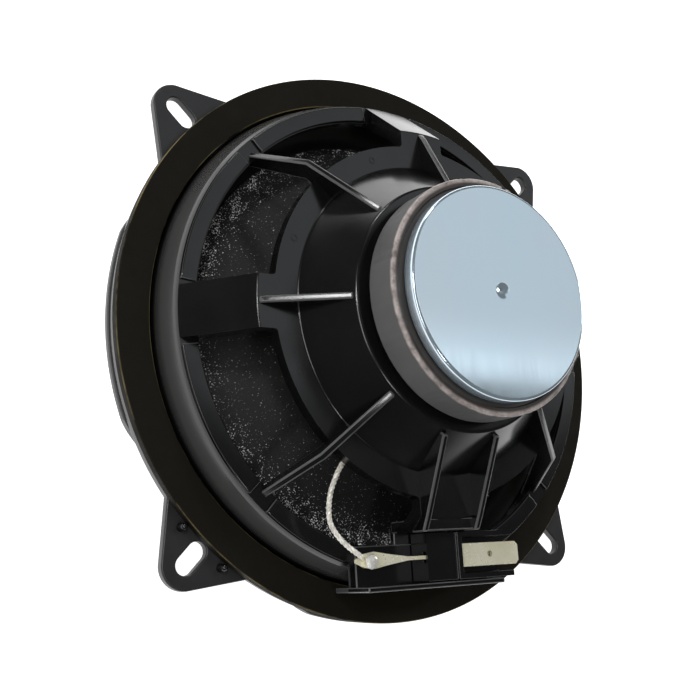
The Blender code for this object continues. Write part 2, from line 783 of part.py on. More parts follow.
def motor():
    plate_front = PLATE_SEAT_Z + GAP
    plate_profile = tube_profile(GAP_HOLE_R, PLATE_R, plate_front, PLATE_REAR_Z)
    as_part(turned("top_plate", plate_profile, MID_STEPS), (0.55, 0.60, 0.63), 0.35, 1.0)
    magnet_front = PLATE_REAR_Z + GAP
    magnet_profile = [
        (MAGNET_R - MAGNET_BEVEL, MAGNET_REAR_Z),
        (MAGNET_R, MAGNET_REAR_Z - MAGNET_BEVEL),
        (MAGNET_R, magnet_front + MAGNET_BEVEL),
        (MAGNET_R - MAGNET_BEVEL, magnet_front),
        (MAGNET_HOLE_R, magnet_front),
        (MAGNET_HOLE_R, MAGNET_REAR_Z),
    ]
    as_part(turned("magnet", magnet_profile, MID_STEPS), (0.07, 0.07, 0.072), 0.55)
    yoke_front = MAGNET_REAR_Z + GAP
    yoke_profile = [
        (0.0, YOKE_REAR_Z - DIMPLE_DEPTH),
        (DIMPLE_R, YOKE_REAR_Z),
        (YOKE_R - YOKE_BEVEL, YOKE_REAR_Z),
        (YOKE_R, YOKE_REAR_Z - YOKE_BEVEL),
        (YOKE_R, yoke_front),
        (POLE_R, yoke_front),
        (POLE_R, plate_front),
        (POLE_BORE_R, plate_front),
        (POLE_BORE_R, POLE_BORE_END_Z),
        (0.0, POLE_BORE_END_Z + 1.0),
    ]
    as_part(turned("yoke", yoke_profile, MID_STEPS, solid=True), (0.62, 0.71, 0.78), 0.22, 1.0)


# ---------------------------------------------------------------- tweeter


def tweeter_post():
    seat = HOUSING_REAR_Z + GAP
    profile = [
        (0.0, POST_PIN_REAR_Z),
        (POST_PIN_R, POST_PIN_REAR_Z),
        (POST_PIN_R, PLATE_SEAT_Z),
        (POST_R, PLATE_SEAT_Z),
        (POST_R, POST_FOOT_Z + 0.4),
        (POST_FOOT_R, POST_FOOT_Z),
        (POST_FOOT_R, seat),
        (POST_BORE_R, seat),
        (POST_BORE_R, POST_BORE_Z),
        (0.0, POST_BORE_Z + 0.9),
    ]
    as_part(turned("tweeter_post", profile, SMALL_STEPS, solid=True), (0.02, 0.02, 0.021), 0.45)


def tweeter_housing():
    inner_r = HOUSING_R - HOUSING_WALL
    floor_z = HOUSING_REAR_Z - HOUSING_WALL - 0.1
    profile = [
        (HOUSING_BORE_R, HOUSING_REAR_Z),
        (HOUSING_R - HOUSING_BEVEL, HOUSING_REAR_Z),
        (HOUSING_R, HOUSING_REAR_Z - HOUSING_BEVEL),
        (HOUSING_R, HOUSING_FRONT_Z),
        (inner_r, HOUSING_FRONT_Z),
        (inner_r, floor_z),
        (HOUSING_BORE_R, floor_z),
    ]
    body = turned("tweeter_housing", profile, FINE_STEPS)
    holes = []
    for angle in (90.0, *EYELET_ANGLES.values()):
        x, y, _ = polar(LEAD_HOLE_PITCH_R, angle, 0)
        holes.append(cylinder(f"lead_hole_{round(angle)}", LEAD_HOLE_R, 12.0, 20.0, x, y, 12))
    cut(body, holes)
    as_part(body, (0.02, 0.02, 0.021), 0.4)


def tweeter_faceplate():
    """Short horn round the dome, crossed by a three-armed guard."""
    front = FACEPLATE_FRONT_Z
    rear = FACEPLATE_REAR_Z
    spigot = rear + 1.5
    profile = [
        (FACEPLATE_R, rear),
        (FACEPLATE_R, front + 1.0),
        (FACEPLATE_R - 1.0, front),
        (HORN_MOUTH_R, front),
        (HORN_THROAT_R, rear - 0.4),
        (HORN_THROAT_R, spigot),
        (HORN_THROAT_R + 1.1, spigot),
        (HORN_THROAT_R + 1.1, rear),
    ]
    ring = turned("tweeter_faceplate", profile, FINE_STEPS)
    low, high = GUARD_Z
    guard = [cylinder("guard_hub", GUARD_HUB_R, low - 0.1, high + 0.1)]
    for i in range(3):
        reach = HORN_MOUTH_R - 0.6
        bar = box(f"guard_bar_{i}", (0.0, -GUARD_HALF_WIDTH, low), (reach, GUARD_HALF_WIDTH, high))
        bar.matrix_world = Matrix.Rotation(math.radians(90 + 120 * i), 4, "Z")
        guard.append(bar)
    join(ring, guard)
    as_part(ring, (0.03, 0.03, 0.032), 0.35)


def dome_z(r, offset):
    """Front dome: a shallow cap that bulges towards -Z."""
    return DOME_EDGE_Z - DOME_HEIGHT * (1 - (r / DOME_R) ** 2) + offset


def tweeter_moving_parts():
    radii = [DOME_R * i / 4 for i in range(5)]
    half = DOME_HALF_THICKNESS
    profile = [(r, dome_z(r, half)) for r in radii] + [(r, dome_z(r, -half)) for r in reversed(radii)]
    as_part(turned("tweeter_dome", profile, SMALL_STEPS, solid=True), (0.75, 0.76, 0.78), 0.3, 1.0)
    coil = tube_profile(*TWEETER_COIL_R, *TWEETER_COIL_Z)
    as_part(turned("tweeter_coil", coil, SMALL_STEPS), (0.72, 0.34, 0.16), 0.35, 1.0)
    edge = DOME_EDGE_Z
    roll = [(9.0, edge - 0.45), (8.5, edge - 0.7), (8.0, edge - 0.45)]
    line = [(10.3, edge), (9.4, edge), *roll, (7.6, edge), (7.2, edge)]
    as_part(turned("tweeter_suspension", strip(line, 0.26), SMALL_STEPS), (0.10, 0.09, 0.08), 0.7)


def tweeter_motor():
    front, rear = TWEETER_YOKE_Z
    cup_floor = rear - TWEETER_YOKE_WALL
    yoke = [
        (0.0, rear),
        (TWEETER_YOKE_R, rear),
        (TWEETER_YOKE_R, front),
        (TWEETER_CUP_R, front),
        (TWEETER_CUP_R, cup_floor),
        (0.0, cup_floor),
    ]
    as_part(turned("tweeter_yoke", yoke, SMALL_STEPS, solid=True), (0.5, 0.5, 0.52), 0.35, 1.0)
    magnet = disc_profile(TWEETER_POLE_R, *TWEETER_MAGNET_Z)
    as_part(turned("tweeter_magnet", magnet, SMALL_STEPS, solid=True), (0.6, 0.6, 0.62), 0.3, 1.0)
    pole = disc_profile(TWEETER_POLE_R, *TWEETER_POLE_Z)
    as_part(turned("tweeter_pole_plate", pole, SMALL_STEPS, solid=True), (0.5, 0.5, 0.52), 0.35, 1.0)
    head_front, head_rear = SCREW_HEAD_Z
    screw = [
        (0.0, SCREW_REAR_Z),
        (SCREW_R, SCREW_REAR_Z),
        (SCREW_R, head_rear),
        (SCREW_HEAD_R, head_rear),
        (SCREW_HEAD_R, head_front + 0.7),
        (SCREW_HEAD_R - 0.6, head_front),
        (0.0, head_front),
    ]
    as_part(turned("tweeter_screw", screw, 16, solid=True), (0.6, 0.6, 0.6), 0.3, 1.0)


def tie_outline(clearance):
    """Loop round the post and the capacitor: two arcs and the straight runs that touch both."""
    near = POST_R + clearance
    far = CAPACITOR_R + clearance
    lean = math.degrees(math.asin((near - far) / CAPACITOR_CENTRE_Y))
    top = arc(far, lean, 180 - lean, 8, (0.0, CAPACITOR_CENTRE_Y))
    bottom = arc(near, 180 - lean, 360 + lean, 12)
    return top + bottom


def crossover():
    """The tweeter's series capacitor, tied to the post, and its lead down into the housing."""
    low, high = CAPACITOR_Z
    body = cylinder("tweeter_capacitor", CAPACITOR_R, low, high, 0.0, CAPACITOR_CENTRE_Y, 28)
    as_part(body, (0.03, 0.05, 0.16), 0.4)
    outlines = [tie_outline(GAP + TIE_THICKNESS), tie_outline(GAP)]
    as_part(plate("capacitor_tie", outlines, TIE_WIDTH, lifted(TIE_Z)), (0.04, 0.04, 0.04), 0.5)
    hole = LEAD_HOLE_PITCH_R
    route = [
        (0.8, 9.0, low - GAP),
        (0.8, 9.6, 19.2),
        (0.3, 11.3, 18.2),
        (0.0, hole, 16.6),
        (0.0, hole, LEAD_END_Z),
    ]
    as_part(wire("capacitor_lead", route, CAPACITOR_LEAD_R, 0.9), (0.7, 0.7, 0.68), 0.3, 1.0)


def tweeter_leads():
    """Fine leads from the cone's eyelets, in front of the cone, to the tweeter's housing."""
    hole = LEAD_HOLE_PITCH_R
    front_z = cone_z(EYELET_R) - EYELET_HALF_LENGTH - TWEETER_LEAD_R
    for side, angle in EYELET_ANGLES.items():
        route = [
            polar(EYELET_R - 0.8, angle, front_z),
            polar(EYELET_R - 3.0, angle, front_z - 0.9),
            polar(EYELET_R - 6.5, angle, front_z + 0.6),
            polar(hole + 3.0, angle, 19.2),
            polar(hole + 0.5, angle, 18.3),
            polar(hole, angle, 16.8),
            polar(hole, angle, LEAD_END_Z),
        ]
        as_part(wire(f"tweeter_lead_{side}", route, TWEETER_LEAD_R, 1.1), (0.55, 0.40, 0.25), 0.45)


# ---------------------------------------------------------------- terminals and leads


def terminal_housing():
    """Moulded guard round both blades, open to the rear and towards +X, with a lower step over the tails."""
    left, outer, floor = GUARD_LEFT_X, GUARD_OUTER_Y, TRAY_FLOOR_Z + GAP
    right, top = TRAY_RIGHT_X, BLOCK_TOP_Y - GAP
    low, high = LOWER_BLADE_Z, UPPER_BLADE_Z
    slot_end = SOCKET_LEFT_X + 3.0
    body = box("terminal_housing", (left, outer, floor), (right, top, GUARD_REAR_Z))
    step = box("step", (left - 2.0, outer - 2.0, GUARD_LOW_REAR_Z), (SOCKET_LEFT_X, top + 2.0, ABOVE_ALL_Z))
    cavity = box(
        "socket",
        (SOCKET_LEFT_X + GUARD_WALL, outer + GUARD_WALL, SOCKET_FLOOR_Z),
        (right + 5.0, top - GUARD_WALL, ABOVE_ALL_Z),
    )
    upper = box(
        "upper_slot",
        (left - 2.0, BLADE_Y - UPPER_SLOT_HALF_WIDTH, high - GAP),
        (slot_end, BLADE_Y + UPPER_SLOT_HALF_WIDTH, high + SLOT_CLEARANCE),
    )
    lower = box(
        "lower_slot",
        (-DROP_HALF_LENGTH, BLADE_Y - LOWER_SLOT_HALF_WIDTH, low - GAP),
        (slot_end, BLADE_Y + LOWER_SLOT_HALF_WIDTH, low + SLOT_CLEARANCE),
    )
    drop = box(
        "drop_slot",
        (-DROP_HALF_LENGTH, BLADE_Y - LOWER_SLOT_HALF_WIDTH + 0.3, TRAY_FLOOR_Z - 1.5),
        (DROP_HALF_LENGTH, BLADE_Y + LOWER_SLOT_HALF_WIDTH - 0.3, low + 0.6),
    )
    cut(body, [step, cavity, upper, lower, drop])
    soften(body, GUARD_BEVEL, segments=1)
    as_part(body, (0.012, 0.012, 0.013), 0.3)


def blade_outline(tail_half, half, end_x, corner):
    """The wide end of a blade, from its tail's lower side round to its tail's upper side."""
    middle, start = BLADE_Y, BLADE_LEFT_X
    return [
        (start - 0.5, middle - tail_half),
        (start, middle - half),
        (end_x - corner, middle - half),
        (end_x, middle - half + corner),
        (end_x, middle + half - corner),
        (end_x - corner, middle + half),
        (start, middle + half),
        (start - 0.5, middle + tail_half),
    ]


def lug_outline():
    """Leaf-shaped solder lug at the end of the narrow tail, from the tail's upper side to its lower side."""
    tail = UPPER_TAIL_HALF_WIDTH
    shoulder = LUG_HALF_WIDTH * 0.8
    upper = [
        (LUG_END_X, tail),
        (LUG_WIDEST_X + 4.5, shoulder * 0.8),
        (LUG_WIDEST_X, LUG_HALF_WIDTH),
        (LUG_WIDEST_X - 3.0, shoulder),
        (LUG_TIP_X, 0.4),
    ]
    lower = [(x, -y) for x, y in reversed(upper)]
    return [(x, BLADE_Y + y) for x, y in upper + lower]


def upper_tab():
    """Wide blade in the socket, with a narrow tail that runs out of the block to a solder lug."""
    blade = blade_outline(UPPER_TAIL_HALF_WIDTH, UPPER_BLADE_HALF_WIDTH, UPPER_BLADE_END_X, 1.0)
    holes = [
        arc(BLADE_HOLE_R, 0, 330, 11, (BLADE_HOLE_X, BLADE_Y)),
        arc(LUG_HOLE_R, 0, 330, 11, (LUG_HOLE_X, BLADE_Y)),
    ]
    level = UPPER_BLADE_Z + BLADE_THICKNESS / 2
    made = plate("terminal_tab_upper", [blade + lug_outline(), *holes], BLADE_THICKNESS, lifted(level))
    as_part(made, (0.78, 0.66, 0.38), 0.25, 1.0)


def lower_tab():
    """Narrow blade below the wide one; its tail turns down through the tray to the second lead."""
    tail = LOWER_TAIL_HALF_WIDTH
    blade = blade_outline(tail, LOWER_BLADE_HALF_WIDTH, LOWER_BLADE_END_X, 0.8)
    outline = [(LOWER_TAIL_X, BLADE_Y - tail), *blade, (LOWER_TAIL_X, BLADE_Y + tail)]
    level = LOWER_BLADE_Z + BLADE_THICKNESS / 2
    made = plate("terminal_tab_lower", [outline], BLADE_THICKNESS, lifted(level))
    side = tail - 0.1
    leg = box("tab_leg", (-0.38, BLADE_Y - side, LEG_FRONT_Z), (0.38, BLADE_Y + side, level))
    join(made, [leg])
    as_part(made, (0.78, 0.66, 0.38), 0.25, 1.0)


def solder_joint(name, place, radius, height):
    mesh = bpy.data.meshes.new(name)
    form = bmesh.new()
    bmesh.ops.create_uvsphere(form, u_segments=12, v_segments=6, radius=radius * MM)
    bmesh.ops.scale(form, vec=(1.0, 1.0, height / radius), verts=form.verts)
    bmesh.ops.translate(form, vec=[v * MM for v in place], verts=form.verts)
    form.to_mesh(mesh)
    form.free()
    as_part(helper_object(name, mesh), (0.8, 0.8, 0.78), 0.3, 1.0)


def coil_leads():
    """Braided leads from the cone's eyelets to the terminals; the left one loops out through a window."""
    rear_z = cone_z(EYELET_R) + EYELET_HALF_LENGTH + COIL_LEAD_R + GAP
    left = [
        polar(EYELET_R + 0.9, EYELET_ANGLES["left"], rear_z),
        (-14.0, -27.6, 24.2),
        (-21.5, -33.4, 27.0),
        (-28.6, -39.4, 28.6),
        (-32.4, -45.8, 28.6),
        (-33.6, -50.8, 28.4),
        (-33.4, -54.9, 28.3),
        (-31.6, -58.2, 28.5),
        (-28.9, -61.1, 29.0),
        (-25.0, -64.0, 29.3),
    ]
    as_part(wire("coil_lead_left", left, COIL_LEAD_R, 2.0), (0.62, 0.60, 0.54), 0.45)
    right = [
        polar(EYELET_R + 0.9, EYELET_ANGLES["right"], rear_z),
        (3.4, -31.0, 24.4),
        (3.6, -38.5, 25.6),
        (3.0, -46.5, 23.6),
        (2.0, -53.5, 19.4),
        (0.9, -59.5, 16.0),
        (0.2, -63.0, 15.3),
    ]
    as_part(wire("coil_lead_right", right, COIL_LEAD_R, 2.0), (0.62, 0.60, 0.54), 0.45)


def build():
    basket()
    rear_gasket()
    front_trim_ring()
    surround()
    cone()
    cone_eyelets()
    spider()
    voice_coil()
    motor()
    tweeter_post()
    tweeter_housing()
    tweeter_faceplate()
    tweeter_moving_parts()
    tweeter_motor()
    crossover()
    tweeter_leads()
    terminal_housing()
    upper_tab()
    lower_tab()
    solder_joint("solder_joint_left", SOLDER_LEFT, *SOLDER_LEFT_SIZE)
    solder_joint("solder_joint_right", SOLDER_RIGHT, *SOLDER_RIGHT_SIZE)
    coil_leads()


build()
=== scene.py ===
"""Looks of the coaxial car speaker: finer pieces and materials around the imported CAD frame.

The speaker lies face down on a pale floor. Lengths are in millimetres, and MM turns them into metres.
Angles are in degrees. The stage, the lights and the textures' scales are in metres.
"""

import math
import random

import bmesh
import bpy
from mathutils import Matrix, Vector


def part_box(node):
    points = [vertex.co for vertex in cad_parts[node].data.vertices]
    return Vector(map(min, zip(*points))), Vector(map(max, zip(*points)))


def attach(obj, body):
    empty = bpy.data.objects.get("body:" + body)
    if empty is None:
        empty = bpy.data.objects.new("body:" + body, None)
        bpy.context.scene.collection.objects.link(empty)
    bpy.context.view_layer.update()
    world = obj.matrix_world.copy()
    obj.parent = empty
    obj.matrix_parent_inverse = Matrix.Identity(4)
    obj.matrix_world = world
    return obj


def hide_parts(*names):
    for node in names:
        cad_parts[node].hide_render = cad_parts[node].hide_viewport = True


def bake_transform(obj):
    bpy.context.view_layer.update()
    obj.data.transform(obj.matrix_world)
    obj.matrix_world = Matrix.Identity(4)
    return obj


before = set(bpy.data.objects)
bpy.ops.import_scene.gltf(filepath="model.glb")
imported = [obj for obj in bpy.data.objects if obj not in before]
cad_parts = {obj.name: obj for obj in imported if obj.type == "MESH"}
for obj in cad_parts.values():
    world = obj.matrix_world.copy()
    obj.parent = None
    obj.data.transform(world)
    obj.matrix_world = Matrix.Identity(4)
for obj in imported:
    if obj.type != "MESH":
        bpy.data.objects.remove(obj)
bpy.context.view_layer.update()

MM = 0.001
FRAME_BODY = "frame"
CONE_BODY = "cone_assembly"

# Read from the CAD, in millimetres
GASKET_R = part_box("rear_gasket")[1].x / MM
GASKET_FRONT_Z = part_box("rear_gasket")[0].z / MM
GASKET_REAR_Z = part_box("rear_gasket")[1].z / MM
TRIM_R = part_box("front_trim_ring")[1].x / MM
MAGNET_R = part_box("magnet")[1].x / MM
MAGNET_FRONT_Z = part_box("magnet")[0].z / MM
MAGNET_REAR_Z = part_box("magnet")[1].z / MM
YOKE_R = 28.4
YOKE_REAR_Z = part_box("yoke")[1].z / MM
FLANGE_REAR_Z = GASKET_FRONT_Z - 0.3

# The basket's plan and profile, as in the CAD
FLANGE_R = 81.9
FLANGE_FRONT_Z = 2.7
GASKET_INNER_R = 73.4
SEAT_OUTER_R = 73.6
SEAT_INNER_R = 69.6
SEAT_Z = 4.8
RIM_R = 69.4
RIM_Z = 18.4
RIM_UNDER_Z = 16.4
WALL_FOOT_R = 72.9
WINDOW_OUTER_R = 64.4
WINDOW_INNER_R = 50.3
ARM_END_R = 55.2
ARM_HALF_WIDTH = 7.0
TERMINAL_ARM_HALF_WIDTH = 9.7
LEDGE_Z = 35.0
LEDGE_UNDER_Z = 31.3
DRUM_BASE_R = 43.6
DRUM_TOP_R = 33.8
DRUM_TOP_Z = 47.5
PLATE_SEAT_Z = 45.2
WALL = 2.3
MOTOR_SEAT_R = 29.4
MOTOR_HOLE_R = 24.5
MOTOR_SHELF = 2.6
CUT_LOW_Z = 7.0
CUT_TOP_Z = 60.0
EDGE_ROUND = 0.5
EAR_ANGLES = (43, 135, 225, 315)
WEB_ANGLES = (45, 135, 225, 315)
EAR_TIP_R = 96.2
EAR_TIP_ROUND = 6.6
EAR_ROOT_R = 77.5
EAR_ROOT_HALF_WIDTH = 18.0
SLOT_INNER_R = 82.4
SLOT_OUTER_R = 92.3
SLOT_WIDTH = 5.2
PINNED_EAR_ANGLE = 225
PIN_PITCH_R = 84.0
PIN_HALF_ANGLE = 5.2
PIN_TIP = ((0.0, 9.0), (0.5, 8.9), (0.85, 8.55), (1.0, 8.0))
PIN_PROFILE = (*PIN_TIP, (1.0, 6.2), (1.25, 5.7), (1.25, 4.0), (0.0, 4.0))
MARK_PITCH_R = 47.2
MARK_ANGLES = (22, 68, 112, 158, 202, 248, 292, 338)
MARK_PROFILE = ((0.0, -0.1), (0.55, -0.1), (0.6, 0.12), (0.95, 0.12), (1.15, -0.2), (0.0, -0.2))
TRIM_INNER_R = 70.3
TRIM_NOTCH_R = 79.0
TRIM_REAR_Z = 2.4
NOTCH_HALF_ANGLE = 18.0
NOTCH_FADE_ANGLE = 13.0
NOTCH_STEPS = 60
WEB_KINK = (55.4, 36.0)
WEB_FOOT_Z = 12.5
WEB_THICKNESS = 2.0
RIB_THICKNESS = 1.8
RIB_ANGLES = (0, 90, 180)
TERMINAL_RIB_R = 58.4
TERMINAL_RIB_KINK_R = 54.6
TERMINAL_RIB_DEPTH = 5.0
TERMINAL_RIB_INSET = 1.05
LIP_HEIGHT = 0.8
LIP_INSET = 0.25
LIP_ARM_ANGLE = 7.2
LIP_TERMINAL_ANGLE = 9.6
LIP_WEB_HALF_ANGLE = 2.7
RING_STEPS = 240
SMOOTH_ANGLE = 38.0
ROUNDED_SMOOTH_ANGLE = 50.0
NEARLY_STRAIGHT = math.radians(172)

# Cone, surround and spider
CONE_RIM_R = 61.3
CONE_FLAT_R = 57.6
CONE_RIM_Z = 5.2
CONE_NECK_R = 15.2
CONE_NECK_Z = 24.0
CONE_THICKNESS = 0.8
CONE_STEPS = 192
GLUE_GAP = 0.35
FORMER_R = 13.0
SURROUND_Z = 4.25
ROLL_OUTER_R = 69.9
ROLL_INNER_R = 61.5
ROLL_HEIGHT = 3.3
ROLL_STEPS = 18
SURROUND_THICKNESS = 0.5
TRIM_SEAT_GAP = 0.55
SPIDER_Z = 30.7
SPIDER_SEAT_R = 49.6
SPIDER_OUTER_R = 46.0
SPIDER_INNER_R = 15.5
SPIDER_WAVES = 9
SPIDER_WAVE_HEIGHT = 0.6
SPIDER_THICKNESS = 0.45
BLEND_SECTORS = 16

# Motor: the dimple and the rim of the yoke are pairs of a radius or an inset, and a depth
MAGNET_BORE_R = 16.0
MAGNET_STEP = 0.6
MAGNET_STEPS = 360
CHIP_SEED = 11
CHIP_COUNT = 60
CHIP_BAND = 1.2
CHIP_BAND_DEPTH = 1.1
YOKE_GAP = 0.3
DIMPLE = ((0.0, 0.75), (0.3, 0.70), (0.55, 0.46), (1.2, 0.26), (1.8, 0.10), (2.2, 0.025), (2.5, 0.0))
YOKE_RIM = ((0.9, 0.0), (0.35, 0.12), (0.08, 0.4), (0.0, 0.9))
POLE_R = 12.2
POLE_FRONT_Z = 45.5
POLE_BORE_R = 3.4
POLE_BORE_END_Z = 53.0
TOP_PLATE_R = 29.0
TOP_PLATE_BORE_R = 14.5

# Leads: a braid is its strands' distance from the middle, their radius and their pitch
EYELETS = {"left": 250.0, "right": 276.0}
EYELET_R = 26.0
LEAD_HOLE_PITCH_R = 12.0
LEAD_END_Z = 13.6
LEAD_TURN_Z = 19.2
COIL_BRAID = (0.36, 0.38, 3.6)
TWEETER_BRAID = (0.22, 0.23, 2.4)
STRANDS = 3
STRAND_SIDES = 6

# Camera
CAMERA_PLACE = (-164.0, -65.0, 243.2)
CAMERA_AIM = (-25.46, -9.83, 30.0)
CAMERA_ROLL = 68.55
CAMERA_LENS = 50.2

# Stage and lights, in metres. A panel is a name, azimuth, elevation, size and brightness.
# An overhead panel is a name, range along X, range along Y, drop below the highest one, and brightness.
WHITE = (1.0, 1.0, 1.0)
STAGE_WHITE = (0.80, 0.80, 0.80)
STAGE_Z = -0.0006
FLOOR_HALF = 2.5
FLOOR_GLOW = 0.95
FAR_FLOOR_GLOW = 2.6
FAR_FLOOR_Y = (0.06, 0.40)
BACKDROP_R = 2.4
BACKDROP_HEIGHT = 2.2
BACKDROP_STEPS = 64
SKY = 0.09
LIGHT_DISTANCE = 1.2
OVERHEAD_Z = 1.08
OVERHEAD_COLOUR = (0.93, 0.97, 1.0)
OVERHEADS = (
    ("disc_softbox", (0.28, 1.30), (0.194, 0.80), 0.0, 0.80),
    ("disc_glow", (0.28, 1.30), (0.194, 0.240), 0.02, 0.60),
    ("disc_glow_wide", (0.28, 1.30), (0.194, 0.290), 0.01, 0.18),
)
PANELS = (
    ("left_key", 187.0, 52.0, 0.50, 4.5),
    ("left_spark", 163.0, 42.0, 0.12, 30.0),
    ("right_spark", 14.0, 24.0, 0.14, 22.0),
    ("rib_spark", 149.0, 60.0, 0.15, 44.0),
    ("far_web_spark", 91.0, 36.0, 0.15, 40.0),
    ("near_web_spark", 251.0, 63.0, 0.15, 26.0),
)

# Terminals
TRAY_FLOOR_Z = 21.5
TRAY_UNDER_Z = 17.4
TRAY_WALL_Z = 28.6
TRAY_OUTER_Y = -73.0
TRAY_WALL_INNER_Y = -71.6
TRAY_LEFT_X = -23.0
TRAY_RIGHT_X = 25.5
BLOCK_TOP_Y = -58.2
BAY_HALF_WIDTH = 30.0
BAY_OUTER_Y = -80.0
TRAY_WALL_LOW_Z = 12.0
ARM_BLOCK_LOW_Z = 20.6
ARM_BLOCK_INNER_Y = -55.0
ARM_FOOT_LOW_Z = 19.4
ARM_FOOT_Y = (-62.0, -56.0)
LEAD_HOLE_BOX = ((-1.0, -66.6, 15.0), (1.0, -62.7, 23.0))
SOLDER_POCKET_BOX = ((-1.9, -66.9, 9.0), (1.9, -62.4, 16.9))


# ---------------------------------------------------------------- camera


def camera():
    """A rolled camera behind and above the magnet."""
    data = bpy.data.cameras.new("camera")
    obj = bpy.data.objects.new("camera", data)
    bpy.context.scene.collection.objects.link(obj)
    place = Vector(CAMERA_PLACE) * MM
    aim = Vector(CAMERA_AIM) * MM
    look = (aim - place).to_track_quat("-Z", "Y").to_matrix().to_4x4()
    roll = Matrix.Rotation(math.radians(CAMERA_ROLL), 4, "Z")
    obj.matrix_world = Matrix.Translation(place) @ look @ roll
    data.lens = CAMERA_LENS
    data.sensor_width = 36.0
    data.clip_start = 0.01
    data.clip_end = 20.0
    data.dof.use_dof = False
    bpy.context.scene.camera = obj


# ---------------------------------------------------------------- mesh helpers


def link(obj):
    bpy.context.scene.collection.objects.link(obj)
    return obj


def from_form(name, form):
    """A linked object from a bmesh, shaded smooth except across sharp edges."""
    bmesh.ops.recalc_face_normals(form, faces=form.faces)
    mesh = bpy.data.meshes.new(name)
    form.to_mesh(mesh)
    form.free()
    shade(mesh, SMOOTH_ANGLE)
    return link(bpy.data.objects.new(name, mesh))


def shade(mesh, smooth_angle):
    mesh.polygons.foreach_set("use_smooth", [True] * len(mesh.polygons))
    mesh.set_sharp_from_angle(angle=math.radians(smooth_angle))


def fillet(points, radius, segments, overrides=None):
    """The closed outline, each corner rounded. overrides gives some corners, by index, their own radius."""
    rounded = []
    count = len(points)
    for i, point in enumerate(points):
        here = Vector(point)
        size = (overrides or {}).get(i, radius)
        before = Vector(points[i - 1]) - here
        after = Vector(points[(i + 1) % count]) - here
        if size <= 0 or min(before.length, after.length) < 1e-6 or before.angle(after) > NEARLY_STRAIGHT:
            rounded.append(tuple(here))
            continue
        turn = before.angle(after)
        reach = min(size / math.tan(turn / 2), before.length * 0.45, after.length * 0.45)
        start = here + before.normalized() * reach
        end = here + after.normalized() * reach
        for k in range(segments + 1):
            t = k / segments
            rounded.append(tuple(start * (1 - t) ** 2 + here * 2 * t * (1 - t) + end * t**2))
    return rounded


def lathe(name, profile, steps=RING_STEPS, start=0.0, sweep=360.0):
    """Turns a closed profile of (radius, z) round the axis: a full ring, or a capped part of one."""
    form = bmesh.new()
    full = sweep >= 360.0
    rows = []
    for i in range(steps if full else steps + 1):
        angle = math.radians(start + sweep * i / steps)
        c, s = math.cos(angle), math.sin(angle)
        rows.append([form.verts.new((r * c * MM, r * s * MM, z * MM)) for r, z in profile])
    for i in range(steps):
        a, b = rows[i], rows[(i + 1) % len(rows)]
        for j in range(len(profile)):
            k = (j + 1) % len(profile)
            form.faces.new((a[j], b[j], b[k], a[k]))
    if not full:
        form.faces.new(rows[0])
        form.faces.new(rows[-1])
    return from_form(name, form)


def turned(name, profile, steps=RING_STEPS):
    """Turns an open profile whose two ends lie on the axis into one solid."""
    form = bmesh.new()
    tip = form.verts.new((0, 0, profile[0][1] * MM))
    tail = form.verts.new((0, 0, profile[-1][1] * MM))
    rows = []
    for i in range(steps):
        angle = 2 * math.pi * i / steps
        c, s = math.cos(angle), math.sin(angle)
        rows.append([form.verts.new((r * c * MM, r * s * MM, z * MM)) for r, z in profile[1:-1]])
    for i in range(steps):
        a, b = rows[i], rows[(i + 1) % steps]
        form.faces.new((tip, b[0], a[0]))
        form.faces.new((tail, a[-1], b[-1]))
        for j in range(len(a) - 1):
            form.faces.new((a[j], b[j], b[j + 1], a[j + 1]))
    return from_form(name, form)


def prism(name, outline, low, high):
    """A flat outline in the XY plane, given a height."""
    form = bmesh.new()
    base = [form.verts.new((x * MM, y * MM, low * MM)) for x, y in outline]
    top = [form.verts.new((x * MM, y * MM, high * MM)) for x, y in outline]
    form.faces.new(base)
    form.faces.new(top)
    for i in range(len(outline)):
        k = (i + 1) % len(outline)
        form.faces.new((base[i], base[k], top[k], top[i]))
    return from_form(name, form)


def box(name, low, high):
    (x0, y0, z0), (x1, y1, z1) = low, high
    return prism(name, [(x0, y0), (x1, y0), (x1, y1), (x0, y1)], z0, z1)


def upright(angle, offset=0.0):
    """Stands a flat piece up: its x runs outwards along the angle and its y runs along +Z."""
    across = Matrix.Translation((0.0, offset * MM, 0.0))
    return Matrix.Rotation(math.radians(angle), 4, "Z") @ across @ Matrix.Rotation(math.pi / 2, 4, "X")


def arc(radius, start, end, count, centre=(0.0, 0.0)):
    points = []
    for i in range(count + 1):
        angle = math.radians(start + (end - start) * i / count)
        points.append((centre[0] + radius * math.cos(angle), centre[1] + radius * math.sin(angle)))
    return points


def evaluated(obj):
    """Applies the object's modifiers to its own mesh."""
    bpy.context.view_layer.update()
    graph = bpy.context.evaluated_depsgraph_get()
    mesh = bpy.data.meshes.new_from_object(obj.evaluated_get(graph))
    obj.modifiers.clear()
    obj.data = mesh
    return obj


def cut_out(obj, others):
    """Cuts the other solids out of the object, and removes them."""
    for other in others:
        step = obj.modifiers.new(other.name, "BOOLEAN")
        step.operation = "DIFFERENCE"
        step.solver = "EXACT"
        step.object = other
    evaluated(obj)
    for other in others:
        bpy.data.objects.remove(other, do_unlink=True)
    return obj


def bevel(obj, width, segments, angle):
    edge = obj.modifiers.new("edges", "BEVEL")
    edge.width = width * MM
    edge.segments = segments
    edge.limit_method = "ANGLE"
    edge.angle_limit = math.radians(angle)
    return edge


